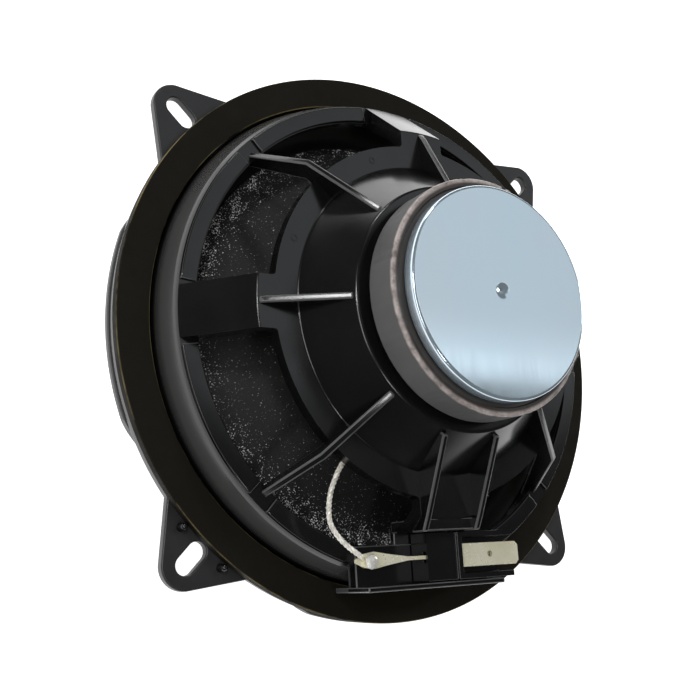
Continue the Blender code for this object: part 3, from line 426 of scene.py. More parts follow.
def soften(obj, width, segments, angle=32.0):
    """Rounds the sharp edges and keeps the flats flat. The rounded strips take the second material, which
    on the basket is a paler colour: a painted highlight.
    """
    while len(obj.data.materials) < 2:
        obj.data.materials.append(None)
    edge = bevel(obj, width, segments, angle)
    edge.material = 1
    edge.miter_outer = "MITER_ARC"
    evaluated(obj)
    shade(obj.data, ROUNDED_SMOOTH_ANGLE)
    return keep_flats(obj)


def keep_flats(obj):
    """Bends the shading only at the rounded edges, so that the wide faces between them stay flat."""
    normals = obj.modifiers.new("normals", "WEIGHTED_NORMAL")
    normals.keep_sharp = True
    return evaluated(obj)


def polar(radius, angle, z):
    turn = math.radians(angle)
    return Vector((radius * math.cos(turn), radius * math.sin(turn), z))


def joined(name, pieces):
    """One object from several meshes, which keep their own shells."""
    form = bmesh.new()
    for piece in pieces:
        piece.data.transform(piece.matrix_world)
        form.from_mesh(piece.data)
        bpy.data.objects.remove(piece, do_unlink=True)
    mesh = bpy.data.meshes.new(name)
    form.to_mesh(mesh)
    form.free()
    shade(mesh, ROUNDED_SMOOTH_ANGLE)
    return link(bpy.data.objects.new(name, mesh))


def finish_piece(obj, body, look, replaced=(), edge=None):
    """Gives a piece its looks, one for its faces and perhaps one for its rounded edges, and its body."""
    looks = [look, edge or look]
    while len(obj.data.materials) < len(looks):
        obj.data.materials.append(None)
    for i, made in enumerate(looks):
        obj.data.materials[i] = made
    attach(obj, body)
    if replaced:
        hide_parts(*replaced)


# ---------------------------------------------------------------- materials


class Look:
    """A Principled material with the small node helpers that the looks below share."""

    def __init__(self, name, colour, roughness, metallic=0.0, specular=0.5):
        self.made = bpy.data.materials.new(name)
        self.made.use_nodes = True
        self.tree = self.made.node_tree
        self.shader = self.tree.nodes["Principled BSDF"]
        self.shader.inputs["Base Color"].default_value = (*colour, 1.0)
        self.shader.inputs["Roughness"].default_value = roughness
        self.shader.inputs["Metallic"].default_value = metallic
        self.shader.inputs["Specular IOR Level"].default_value = specular
        self.made.diffuse_color = (*colour, 1.0)
        self.place = self.tree.nodes.new("ShaderNodeTexCoord").outputs["Object"]
        self.bumps = None

    def node(self, kind, **values):
        made = self.tree.nodes.new(kind)
        for key, value in values.items():
            setattr(made, key, value)
        return made

    def wire(self, source, target):
        self.tree.links.new(source, target)

    def feed(self, socket, value):
        """Sets a socket to a number or a colour, or wires a node's output to it."""
        if isinstance(value, (int, float)):
            socket.default_value = value
        elif isinstance(value, tuple):
            socket.default_value = (*value, 1.0)
        else:
            self.wire(value, socket)

    def stretched(self, scale):
        """The object's coordinates, stretched by a different factor along each axis."""
        mapping = self.node("ShaderNodeMapping")
        mapping.inputs["Scale"].default_value = scale
        self.wire(self.place, mapping.inputs["Vector"])
        return mapping.outputs["Vector"]

    def noise(self, scale, detail=4.0, roughness=0.6, vector=None):
        made = self.node("ShaderNodeTexNoise")
        made.inputs["Scale"].default_value = scale
        made.inputs["Detail"].default_value = detail
        made.inputs["Roughness"].default_value = roughness
        self.wire(vector or self.place, made.inputs["Vector"])
        return made.outputs["Fac"]

    def cells(self, scale):
        made = self.node("ShaderNodeTexVoronoi", feature="F1")
        made.inputs["Scale"].default_value = scale
        self.wire(self.place, made.inputs["Vector"])
        return made.outputs["Distance"]

    def spread(self, source, low, high, to_low=0.0, to_high=1.0):
        made = self.node("ShaderNodeMapRange")
        names = ("From Min", "From Max", "To Min", "To Max")
        for name, value in zip(names, (low, high, to_low, to_high)):
            made.inputs[name].default_value = value
        self.wire(source, made.inputs["Value"])
        return made.outputs["Result"]

    def maths(self, operation, first, second=None):
        made = self.node("ShaderNodeMath", operation=operation)
        for socket, value in zip(made.inputs, (first, second)):
            if value is not None:
                self.feed(socket, value)
        return made.outputs["Value"]

    def mix(self, factor, first, second):
        made = self.node("ShaderNodeMix", data_type="RGBA")
        self.wire(factor, made.inputs["Factor"])
        for name, value in (("A", first), ("B", second)):
            self.feed([s for s in made.inputs if s.name == name and s.type == "RGBA"][0], value)
        return [s for s in made.outputs if s.type == "RGBA"][0]

    def along(self, axis):
        """One of the object's own coordinates, in metres."""
        parts = self.node("ShaderNodeSeparateXYZ")
        self.wire(self.place, parts.inputs["Vector"])
        return parts.outputs[axis]

    def radius(self):
        """Distance from the speaker's axis, in metres."""
        squares = [self.maths("MULTIPLY", part, part) for part in (self.along("X"), self.along("Y"))]
        return self.maths("SQRT", self.maths("ADD", *squares))

    def turn(self):
        """Angle round the speaker's axis, in radians."""
        return self.maths("ARCTAN2", self.along("Y"), self.along("X"))

    def bump(self, height, strength, distance_mm):
        made = self.node("ShaderNodeBump")
        made.inputs["Strength"].default_value = strength
        made.inputs["Distance"].default_value = distance_mm * MM
        self.wire(height, made.inputs["Height"])
        if self.bumps:
            self.wire(self.bumps, made.inputs["Normal"])
        self.bumps = made.outputs["Normal"]
        self.wire(self.bumps, self.shader.inputs["Normal"])

    def colour(self, source):
        self.wire(source, self.shader.inputs["Base Color"])

    def rough(self, source):
        self.wire(source, self.shader.inputs["Roughness"])

    def glow(self, strength):
        self.feed(self.shader.inputs["Emission Color"], WHITE)
        self.feed(self.shader.inputs["Emission Strength"], strength)


def moulded_plastic(name, colour, low, high, specular=0.5, grain=0.12):
    """Glossy moulded plastic: faint flow marks, uneven gloss and a very fine grain."""
    look = Look(name, colour, low, specular=specular)
    blotch = look.noise(45.0, 3.0)
    look.rough(look.spread(blotch, 0.3, 0.7, low, high))
    shade_up = tuple(c * 1.5 for c in colour)
    look.face = look.mix(look.spread(look.noise(160.0, 5.0), 0.35, 0.75), colour, shade_up)
    look.colour(look.face)
    look.bump(look.noise(700.0, 2.0), grain, 0.006)
    look.bump(look.noise(60.0, 2.0), 0.10, 0.10)
    return look


def basket_plastic():
    """The basket's black plastic. The sloping wall outside the rim is painted duller and paler, a painted
    reflection of the pale floor.
    """
    look = moulded_plastic("basket_plastic", (0.0028, 0.0028, 0.0030), 0.15, 0.24)
    # The sloping wall between the rim and the gasket is painted paler: a painted reflection of the floor.
    outside = look.spread(look.radius(), (RIM_R + 0.15) * MM, (RIM_R + 0.5) * MM)
    above = look.spread(look.along("Z"), (GASKET_REAR_Z - 0.5) * MM, (GASKET_REAR_Z + 3.0) * MM)
    below = look.spread(look.along("Z"), (RIM_Z + 0.4) * MM, RIM_Z * MM)
    wall = look.maths("MULTIPLY", look.maths("MULTIPLY", outside, above), below)
    look.colour(look.mix(wall, look.face, (0.050, 0.0495, 0.049)))
    return look


def gasket_foam():
    """Dark closed-cell foam with an olive cast, and a painted tan highlight along the top of its cut edges.
    """
    look = Look("gasket_foam", (0.0080, 0.0072, 0.0046), 0.7, specular=0.1)
    cells = look.cells(1500.0)
    look.bump(cells, 0.35, 0.05)
    tint = look.spread(look.noise(30.0, 4.0), 0.3, 0.7)
    face = look.mix(tint, (0.0066, 0.0058, 0.0036), (0.0092, 0.0082, 0.0054))
    # A painted tan highlight along the top of the inner and outer cut edges, broken into patches by noise.
    outside = look.spread(look.radius(), (GASKET_R - 0.32) * MM, (GASKET_R - 0.12) * MM)
    inside = look.spread(look.radius(), (GASKET_INNER_R + 0.32) * MM, (GASKET_INNER_R + 0.12) * MM)
    patchy_glint = look.spread(look.noise(38.0, 4.0, 0.7), 0.42, 0.62)
    top = look.spread(look.along("Z"), (GASKET_REAR_Z - 0.50) * MM, (GASKET_REAR_Z - 0.30) * MM)
    edge = look.maths("MULTIPLY", look.maths("MULTIPLY", look.maths("ADD", outside, inside), patchy_glint), top)
    look.colour(look.mix(edge, face, (0.20, 0.16, 0.075)))
    look.rough(look.spread(look.noise(220.0, 3.0), 0.3, 0.7, 0.6, 0.78))
    return look


def magnet_ferrite():
    """Grey ferrite, smooth on the ground side. Its rear face is chipped, with painted shade beside the yoke
    and a paler painted highlight along its outer edge.
    """
    look = Look("magnet_ferrite", (0.09, 0.09, 0.089), 0.5, specular=0.4)
    cloud = look.spread(look.noise(70.0, 6.0, 0.7), 0.3, 0.7)
    side = look.mix(cloud, (0.066, 0.066, 0.0655), (0.080, 0.080, 0.079))
    # The rear face's outer edge is painted pale, a painted highlight, speckled by noise.
    speckled_highlight = look.spread(look.noise(330.0, 5.0, 0.75), 0.35, 0.70)
    lip = look.mix(speckled_highlight, (0.46, 0.40, 0.38), (0.12, 0.10, 0.09))
    # Inside that edge the rear face is painted dark, a painted shade beside the yoke.
    outwards = look.spread(look.radius(), (MAGNET_R - 1.5) * MM, (MAGNET_R - 0.8) * MM)
    rear = look.mix(outwards, (0.035, 0.028, 0.025), lip)
    on_rear = look.spread(look.along("Z"), (MAGNET_REAR_Z - 0.9) * MM, (MAGNET_REAR_Z - 0.2) * MM)
    look.colour(look.mix(on_rear, side, rear))
    look.rough(look.spread(look.noise(180.0, 4.0), 0.3, 0.7, 0.34, 0.5))
    look.bump(look.noise(1600.0, 3.0), 0.15, 0.02)
    look.bump(look.maths("MULTIPLY", look.noise(420.0, 4.0, 0.7), on_rear), 0.6, 0.15)
    return look


def zinc_plate(name, colour, low, high):
    """Bright zinc: a soft blue sheen, fine turned lines and a slight haze."""
    look = Look(name, colour, low, metallic=0.75)
    haze = look.spread(look.noise(26.0, 3.0), 0.35, 0.7)
    warm = tuple(c * k for c, k in zip(colour, (1.06, 0.99, 0.97)))
    look.colour(look.mix(haze, colour, warm))
    streak = look.noise(260.0, 4.0, 0.7, look.stretched((1.0, 0.06, 1.0)))
    look.rough(look.spread(streak, 0.3, 0.7, low, high))
    look.bump(look.noise(700.0, 2.0), 0.05, 0.01)
    return look


def cone_paper():
    """Black paper with radial fibres, and coarse bright flecks towards the rim."""
    look = Look("cone_paper", (0.006, 0.006, 0.006), 0.6, specular=0.3)
    spun = look.node("ShaderNodeCombineXYZ")
    look.wire(look.maths("MULTIPLY", look.turn(), 9.0), spun.inputs["X"])
    look.wire(look.maths("MULTIPLY", look.radius(), 60.0), spun.inputs["Y"])
    fibres = look.noise(14.0, 6.0, 0.8, spun.outputs["Vector"])
    base = look.mix(look.spread(fibres, 0.46, 0.80), (0.002, 0.002, 0.002), (0.016, 0.016, 0.017))
    outwards = look.spread(look.radius(), 0.052, 0.0590)
    crowd = look.maths("MULTIPLY", outwards, look.spread(look.noise(230.0, 4.0, 0.75), 0.38, 0.66))
    grains = look.maths("ADD", look.noise(2300.0, 2.0, 0.65), look.maths("MULTIPLY", crowd, 0.19))
    shown = look.spread(grains, 0.68, 0.76)
    look.colour(look.mix(shown, base, (0.95, 0.95, 0.95)))
    look.rough(look.spread(shown, 0.0, 1.0, 0.62, 0.3))
    look.bump(look.noise(1500.0, 4.0, 0.7), 0.7, 0.10)
    look.bump(fibres, 0.5, 0.10)
    return look


def rubber(name, colour, roughness=0.55):
    look = Look(name, colour, roughness, specular=0.35)
    look.rough(look.spread(look.noise(120.0, 3.0), 0.3, 0.7, roughness - 0.1, roughness + 0.12))
    look.bump(look.noise(1100.0, 3.0), 0.3, 0.02)
    return look


def woven_cloth(name, light, dark):
    look = Look(name, light, 0.85)
    weave = look.node("ShaderNodeTexWave", bands_direction="X")
    weft = look.node("ShaderNodeTexWave", bands_direction="Y")
    for threads in (weave, weft):
        threads.inputs["Scale"].default_value = 420.0
        look.wire(look.place, threads.inputs["Vector"])
    crossed = look.maths("MULTIPLY", weave.outputs["Fac"], weft.outputs["Fac"])
    look.colour(look.mix(crossed, dark, light))
    look.bump(crossed, 0.6, 0.12)
    return look


def bright_metal(name, colour, low, high, tarnish, scale=300.0, metallic=1.0):
    """Plated or soldered metal: uneven gloss, small scratches and darker tarnish in patches."""
    look = Look(name, colour, low, metallic=metallic)
    patches = look.spread(look.noise(scale, 5.0, 0.65), 0.4, 0.68)
    look.colour(look.mix(patches, colour, tarnish))
    look.rough(look.spread(look.noise(scale * 2.5, 4.0), 0.3, 0.7, low, high))
    look.bump(look.noise(scale * 4.0, 3.0, 0.7, look.stretched((1.0, 5.0, 1.0))), 0.12, 0.02)
    return look


BLACK = basket_plastic().made
# A paler colour for the basket's rounded edges: a painted highlight, standing in for the light that the
# edges catch.
PAINTED_EDGE_HIGHLIGHT = moulded_plastic("basket_edge_painted_highlight", (0.065, 0.065, 0.066), 0.2, 0.35).made
TRIM_PLASTIC = moulded_plastic("trim_plastic", (0.045, 0.045, 0.045), 0.36, 0.5, grain=0.3).made
RIM_PLASTIC = moulded_plastic("rim_plastic", (0.013, 0.013, 0.014), 0.34, 0.46, grain=0.4).made
FOAM = gasket_foam().made
FERRITE = magnet_ferrite().made
YOKE_ZINC = zinc_plate("yoke_zinc", (0.50, 0.62, 0.70), 0.09, 0.15).made
PAPER = cone_paper().made
RUBBER = rubber("surround_rubber", (0.012, 0.012, 0.012)).made
CLOTH = woven_cloth("spider_cloth", (0.50, 0.36, 0.13), (0.25, 0.16, 0.05)).made
TINSEL = bright_metal("lead_tinsel", (0.90, 0.87, 0.80), 0.35, 0.5, (0.50, 0.48, 0.42), 900.0, 0.25).made
TINNED = bright_metal("tab_tin", (0.92, 0.89, 0.70), 0.2, 0.32, (0.80, 0.75, 0.52), 110.0, 0.4).made
SOLDER = bright_metal("solder", (0.93, 0.92, 0.88), 0.15, 0.28, (0.66, 0.64, 0.58), 400.0, 0.4).made
BRASS = bright_metal("eyelet_brass", (0.72, 0.58, 0.30), 0.2, 0.35, (0.40, 0.30, 0.14)).made
COPPER = bright_metal("coil_copper", (0.76, 0.36, 0.18), 0.25, 0.4, (0.45, 0.18, 0.08)).made
STEEL = bright_metal("inner_steel", (0.62, 0.63, 0.64), 0.25, 0.4, (0.42, 0.42, 0.42)).made
FILM = rubber("former_film", (0.42, 0.27, 0.09), 0.35).made
SATIN = moulded_plastic("tweeter_plastic", (0.016, 0.016, 0.017), 0.34, 0.48, grain=0.5).made
SLEEVE = moulded_plastic("capacitor_sleeve", (0.02, 0.03, 0.13), 0.3, 0.45).made
DOME_FILM = bright_metal("dome_film", (0.75, 0.76, 0.78), 0.25, 0.35, (0.6, 0.61, 0.63), 120.0).made
SILK = rubber("suspension_cloth", (0.05, 0.045, 0.04), 0.8).made


# ---------------------------------------------------------------- basket


def quarter_outline(inner_r, outer_r, quarter, gap, corner):
    """Plan of one quarter between two arms: sides parallel to the arms, and rounded corners."""
    start = quarter * 90
    before = TERMINAL_ARM_HALF_WIDTH if quarter == 3 else ARM_HALF_WIDTH
    after = TERMINAL_ARM_HALF_WIDTH if quarter == 2 else ARM_HALF_WIDTH
    before += gap
    after += gap
    outer = arc(
        outer_r,
        start + math.degrees(math.asin(before / outer_r)),
        start + 90 - math.degrees(math.asin(after / outer_r)),
        44,
    )
    inner = arc(
        inner_r,
        start + 90 - math.degrees(math.asin(after / inner_r)),
        start + math.degrees(math.asin(before / inner_r)),
        32,
    )
    last = len(outer) + len(inner) - 1
    corners = {i: corner for i in (0, len(outer) - 1, len(outer), last)}
    return fillet(outer + inner, 0.0, 4, corners)


def basket_shell():
    profile = [
        (MOTOR_SEAT_R, DRUM_TOP_Z),
        (DRUM_TOP_R, DRUM_TOP_Z),
        (DRUM_BASE_R, LEDGE_Z),
        (ARM_END_R, LEDGE_Z),
        (RIM_R, RIM_Z),
        (RIM_R + 0.8, RIM_Z - 1.4),
        (WALL_FOOT_R - 0.5, GASKET_REAR_Z + 0.5),
        (WALL_FOOT_R, FLANGE_REAR_Z),
        (FLANGE_R, FLANGE_REAR_Z),
        (FLANGE_R, FLANGE_FRONT_Z),
        (SEAT_OUTER_R, FLANGE_FRONT_Z),
        (SEAT_OUTER_R, SEAT_Z),
        (SEAT_INNER_R, SEAT_Z),
        (SEAT_INNER_R + 0.2, 9.0),
        (WINDOW_OUTER_R - 0.5, RIM_UNDER_Z),
        (ARM_END_R - 2.0, LEDGE_UNDER_Z),
        (DRUM_BASE_R - WALL, LEDGE_UNDER_Z),
        (DRUM_TOP_R - WALL, PLATE_SEAT_Z - MOTOR_SHELF),
        (MOTOR_HOLE_R, PLATE_SEAT_Z - MOTOR_SHELF),
        (MOTOR_HOLE_R, PLATE_SEAT_Z),
        (MOTOR_SEAT_R, PLATE_SEAT_Z),
    ]
    shell = lathe("basket_shell", fillet(profile, 0.45, 3, {1: 1.1, 2: 0.9, 3: 0.7, 4: 0.6}))
    cutters = []
    for quarter in range(4):
        window = quarter_outline(WINDOW_INNER_R, WINDOW_OUTER_R, quarter, 0.0, 1.6)
        cutters.append(prism(f"window_{quarter}", window, CUT_LOW_Z, CUT_TOP_Z))
        above = quarter_outline(WINDOW_INNER_R + 4.0, RIM_R + 5.0, quarter, 0.0, 0.0)
        cutters.append(prism(f"above_rim_{quarter}", above, RIM_Z, CUT_TOP_Z + 1.0))
    bay_low = (-BAY_HALF_WIDTH, BAY_OUTER_Y, TRAY_FLOOR_Z - 1.0)
    cutters.append(box("terminal_bay", bay_low, (BAY_HALF_WIDTH, BLOCK_TOP_Y, CUT_TOP_Z + 2.0)))
    cut_out(shell, cutters + lead_way())
    return soften(shell, EDGE_ROUND, 3)


def web_outline(kink, outer):
    """An upright wall's outline: foot on the drum, outer end, then the kink of the top edge."""
    return [
        (DRUM_TOP_R + 0.8, DRUM_TOP_Z - 0.5),
        (DRUM_TOP_R - 1.4, DRUM_TOP_Z - 3.0),
        (DRUM_BASE_R - 1.4, LEDGE_Z - 2.0),
        *outer,
        kink,
    ]


def wall(name, outline, thickness, angle, offset=0.0):
    piece = prism(name, outline, -thickness / 2, thickness / 2)
    piece.matrix_world = upright(angle, offset)
    return soften(piece, EDGE_ROUND, 4)


def webs():
    outer = [
        (ARM_END_R - 3.5, LEDGE_UNDER_Z + 0.5),
        (RIM_R - 3.6, WEB_FOOT_Z),
        (RIM_R - 0.4, WEB_FOOT_Z),
        (RIM_R - 1.8, RIM_UNDER_Z),
    ]
    outline = web_outline(WEB_KINK, outer)
    return [wall(f"web_{a}", outline, WEB_THICKNESS, a) for a in WEB_ANGLES]


def short_ribs():
    outer = [(ARM_END_R - 1.0, LEDGE_Z - 2.0), (ARM_END_R - 0.4, LEDGE_Z + 0.4)]
    outline = web_outline((ARM_END_R - 2.5, LEDGE_Z + 1.8), outer)
    return [wall(f"short_rib_{a}", outline, RIB_THICKNESS, a) for a in RIB_ANGLES]


def terminal_ribs():
    foot_z = LEDGE_Z - TERMINAL_RIB_DEPTH
    outer = [(TERMINAL_RIB_R - 0.8, foot_z), (TERMINAL_RIB_R, foot_z), (TERMINAL_RIB_R, LEDGE_Z + 0.4)]
    outline = web_outline((TERMINAL_RIB_KINK_R, LEDGE_Z + 2.4), outer)
    side = TERMINAL_ARM_HALF_WIDTH - TERMINAL_RIB_INSET
    return [wall(f"terminal_rib_{s}", outline, RIB_THICKNESS, 270, s * side) for s in (-1, 1)]


def window_lips():
    """Raised strips on the rim, one along the outer edge of each half window."""
    made = []
    inner, outer = WINDOW_OUTER_R + LIP_INSET, RIM_R - LIP_INSET
    low, high = RIM_Z - LIP_HEIGHT, RIM_Z + LIP_HEIGHT
    section = fillet([(inner, high), (outer, high), (outer, low), (inner, low)], 0.35, 3)
    for quarter in range(4):
        start = quarter * 90
        middle = start + 45
        first = start + (LIP_TERMINAL_ANGLE if quarter == 3 else LIP_ARM_ANGLE)
        last = start + 90 - (LIP_TERMINAL_ANGLE if quarter == 2 else LIP_ARM_ANGLE)
        for near, far in ((first, middle - LIP_WEB_HALF_ANGLE), (middle + LIP_WEB_HALF_ANGLE, last)):
            lip = lathe(f"lip_{len(made)}", section, 28, near, far - near)
            made.append(soften(lip, 0.25, 2, 60.0))
    return made


def ear_outline():
    tip_x = EAR_TIP_R - EAR_TIP_ROUND
    half = EAR_ROOT_HALF_WIDTH
    lean = math.degrees(math.atan2(tip_x - EAR_ROOT_R, half - EAR_TIP_ROUND))
    return [(EAR_ROOT_R, -half), *arc(EAR_TIP_ROUND, -lean, lean, 18, (tip_x, 0.0)), (EAR_ROOT_R, half)]


def ears():
    made = []
    half = SLOT_WIDTH / 2
    slot_end = arc(half, -90, 90, 16, (SLOT_OUTER_R - half, 0.0))
    slot_start = arc(half, 90, 270, 16, (SLOT_INNER_R + half, 0.0))
    for a in EAR_ANGLES:
        ear = prism(f"ear_{a}", ear_outline(), FLANGE_FRONT_Z + 0.2, FLANGE_REAR_Z - 0.2)
        slot = prism(f"slot_{a}", slot_end + slot_start, 0.0, 9.0)
        cut_out(ear, [slot])
        soften(ear, EDGE_ROUND, 3, 50.0)
        ear.matrix_world = Matrix.Rotation(math.radians(a), 4, "Z")
        made.append(ear)
    return made


def standing(name, profile, place):
    """A small turned solid with its axis at the given place."""
    made = turned(name, profile, 20)
    made.matrix_world = Matrix.Translation(place * MM)
    return made


def ear_pins():
    made = []
    for side in (-PIN_HALF_ANGLE, PIN_HALF_ANGLE):
        place = polar(PIN_PITCH_R, PINNED_EAR_ANGLE + side, 0.0)
        made.append(standing(f"pin_{side}", PIN_PROFILE, place))
    return made


def lead_way():
    """The hole that the lower tab's leg and the second lead's end stand in."""
    return [box("lead_hole", *LEAD_HOLE_BOX), box("solder_pocket", *SOLDER_POCKET_BOX)]


def terminal_tray():
    wide = TERMINAL_ARM_HALF_WIDTH - 0.2
    foot_outer_y, foot_inner_y = ARM_FOOT_Y
    block_low = (-wide, BLOCK_TOP_Y + 0.1, ARM_BLOCK_LOW_Z)
    foot_low = (-wide + 0.3, foot_outer_y, ARM_FOOT_LOW_Z)
    floor_low = (TRAY_LEFT_X + 0.8, TRAY_OUTER_Y + 0.5, TRAY_UNDER_Z)
    wall_high = (TRAY_RIGHT_X - 2.8, TRAY_WALL_INNER_Y, TRAY_WALL_Z)
    pieces = [
        box("tray_floor", floor_low, (TRAY_RIGHT_X - 3.0, BLOCK_TOP_Y - 2.8, TRAY_FLOOR_Z)),
        box("tray_wall", (TRAY_LEFT_X, TRAY_OUTER_Y, TRAY_WALL_LOW_Z), wall_high),
        box("arm_block", block_low, (wide, ARM_BLOCK_INNER_Y, LEDGE_Z - 0.3)),
        box("arm_foot", foot_low, (wide - 0.3, foot_inner_y, TRAY_FLOOR_Z - 0.2)),
    ]
    return [soften(cut_out(piece, lead_way()), 0.35, 3) for piece in pieces]


def ejector_marks():
    """Shallow round marks that the mould's pins leave on the ledge."""
    return [standing(f"mark_{a}", MARK_PROFILE, polar(MARK_PITCH_R, a, LEDGE_Z)) for a in MARK_ANGLES]


def basket():
    # Each basket piece's rounded edges take the paler colour, a painted highlight.
    finish_piece(basket_shell(), FRAME_BODY, BLACK, ["basket"], PAINTED_EDGE_HIGHLIGHT)
    groups = {
        "basket_webs": webs(),
        "basket_short_ribs": short_ribs(),
        "basket_terminal_ribs": terminal_ribs(),
        "basket_window_lips": window_lips(),
        "basket_ear_pins": ear_pins(),
        "basket_terminal_tray": terminal_tray(),
        "basket_ejector_marks": ejector_marks(),
    }
    for name, pieces in groups.items():
        finish_piece(joined(name, pieces), FRAME_BODY, BLACK, (), PAINTED_EDGE_HIGHLIGHT)
    finish_piece(joined("basket_ears", ears()), FRAME_BODY, RIM_PLASTIC)


# ---------------------------------------------------------------- front rim and soft parts


def gasket():
    low, high = GASKET_FRONT_Z, GASKET_REAR_Z
    section = [(GASKET_INNER_R, high), (GASKET_INNER_R, low), (GASKET_R, low), (GASKET_R, high)]
    ring = lathe("gasket_ring", fillet(section, 0.45, 3))
    finish_piece(keep_flats(ring), FRAME_BODY, FOAM, ["rear_gasket"])


def notch_outline(middle):
    """The space beside one ear: its inner edge fades out to the ring's own edge at both ends."""
    reach = NOTCH_HALF_ANGLE + NOTCH_FADE_ANGLE
    inner = []
    for i in range(NOTCH_STEPS + 1):
        turn = reach * (2 * i / NOTCH_STEPS - 1)
        fade = max(0.0, (abs(turn) - NOTCH_HALF_ANGLE) / NOTCH_FADE_ANGLE)
        r = TRIM_NOTCH_R + (TRIM_R + 0.4 - TRIM_NOTCH_R) * math.sin(fade * math.pi / 2)
        inner.append(tuple(polar(r, middle + turn, 0.0)[:2]))
    return arc(TRIM_R + 3.0, middle + reach, middle - reach, NOTCH_STEPS) + inner


def trim_ring():
    rear = SURROUND_Z - TRIM_SEAT_GAP
    section = [
        (TRIM_R, TRIM_REAR_Z),
        (TRIM_R, 0.0),
        (TRIM_INNER_R, 0.0),
        (TRIM_INNER_R, rear),
        (SEAT_OUTER_R - 0.6, rear),
        (SEAT_OUTER_R - 0.6, TRIM_REAR_Z),
    ]
    ring = lathe("front_trim", fillet(section, 0.4, 3, {1: 0.8, 2: 0.8}))
    cut_out(ring, [prism(f"notch_{a}", notch_outline(a), -2.0, 6.0) for a in WEB_ANGLES])
    soften(ring, 0.4, 3, 50.0)
    finish_piece(ring, FRAME_BODY, TRIM_PLASTIC, ["front_trim_ring"])


def strip(line, thickness):
    """The closed outline of a strip of even thickness along a centre line that runs inwards."""
    half = thickness / 2
    near, far = [], []
    for i, (r, z) in enumerate(line):
        before = Vector(line[max(i - 1, 0)])
        after = Vector(line[min(i + 1, len(line) - 1)])
        along = (after - before).normalized()
        near.append((r + along.y * half, z - along.x * half))
        far.append((r - along.y * half, z + along.x * half))
    return far + near[::-1]


def sprung_ring(node, section, look):
    """A ring from its outer edge on the frame to its inner edge on the cone, made in sectors."""
    sweep = 360.0 / BLEND_SECTORS
    for i in range(BLEND_SECTORS):
        piece = lathe(f"{node}_{i:02d}", section, 12, i * sweep, sweep)
        piece.data.materials.append(look)
        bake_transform(piece)
        if i == 0:
            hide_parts(node)


def surround():
    line = [(SEAT_OUTER_R - 0.5, SURROUND_Z), (ROLL_OUTER_R + 0.4, SURROUND_Z)]
    for i in range(1, ROLL_STEPS):
        share = i / ROLL_STEPS
        r = ROLL_OUTER_R + (ROLL_INNER_R - ROLL_OUTER_R) * share
        line.append((r, SURROUND_Z - ROLL_HEIGHT * math.sin(math.pi * share)))
    line += [(ROLL_INNER_R - 0.3, SURROUND_Z), (CONE_FLAT_R + 0.4, SURROUND_Z)]
    sprung_ring("surround", strip(line, SURROUND_THICKNESS), RUBBER)


def spider():
    line = [(SPIDER_SEAT_R, SPIDER_Z)]
    count = SPIDER_WAVES * 8
    for i in range(count + 1):
        share = i / count
        wave = math.cos(2 * math.pi * SPIDER_WAVES * share)
        r = SPIDER_OUTER_R + (SPIDER_INNER_R - SPIDER_OUTER_R) * share
        line.append((r, SPIDER_Z - SPIDER_WAVE_HEIGHT + SPIDER_WAVE_HEIGHT * wave))
    line.append((FORMER_R + GLUE_GAP, SPIDER_Z))
    sprung_ring("spider", strip(line, SPIDER_THICKNESS), CLOTH)


def cone_z(r):
    """Height of the cone's middle surface at a radius."""
    share = (CONE_FLAT_R - r) / (CONE_FLAT_R - CONE_NECK_R)
    return CONE_RIM_Z + (CONE_NECK_Z - CONE_RIM_Z) * share


def cone():
    line = [(CONE_RIM_R, CONE_RIM_Z), (CONE_FLAT_R, CONE_RIM_Z)]
    line += [(r, cone_z(r)) for r in (54.0, 48.0, 40.0, 32.0, 24.0, 18.0, CONE_NECK_R)]
    line.append((FORMER_R + GLUE_GAP, CONE_NECK_Z + 0.1))
    section = fillet(strip(line, CONE_THICKNESS), 0.15, 2)
    finish_piece(lathe("cone_body", section, CONE_STEPS), CONE_BODY, PAPER, ["cone"])


# ---------------------------------------------------------------- motor


def magnet():
    """Ferrite ring with a shallow step under the yoke, and a rear edge chipped here and there."""
    rng = random.Random(CHIP_SEED)
    step_r = YOKE_R + 1.1
    section = [
        (MAGNET_BORE_R, MAGNET_REAR_Z - MAGNET_STEP),
        (MAGNET_BORE_R, MAGNET_FRONT_Z),
        (MAGNET_R, MAGNET_FRONT_Z),
        (MAGNET_R, MAGNET_REAR_Z),
        (step_r, MAGNET_REAR_Z),
        (step_r - 0.3, MAGNET_REAR_Z - MAGNET_STEP),
    ]
    outline = fillet(section, 0.35, 3, {3: 0.7, 4: 0.2, 5: 0.1})
    ring = lathe("magnet_ring", outline, MAGNET_STEPS)
    chips = [
        (rng.uniform(0, 360), rng.uniform(0.4, 2.4), rng.uniform(0.08, 0.32)) for _ in range(CHIP_COUNT)
    ]
    for vert in ring.data.vertices:
        radius = math.hypot(vert.co.x, vert.co.y) / MM
        depth = MAGNET_REAR_Z - vert.co.z / MM
        if radius < MAGNET_R - CHIP_BAND or depth > CHIP_BAND_DEPTH:
            continue
        angle = math.degrees(math.atan2(vert.co.y, vert.co.x)) % 360
        for centre, width, deep in chips:
            off = abs((angle - centre + 180) % 360 - 180)
            if off < width:
                shrink = deep * (1 - off / width) * rng.uniform(0.6, 1.0)
                vert.co.x *= 1 - shrink / radius
                vert.co.y *= 1 - shrink / radius
                vert.co.z -= shrink * MM * 0.6
    finish_piece(keep_flats(ring), FRAME_BODY, FERRITE, ["magnet"])


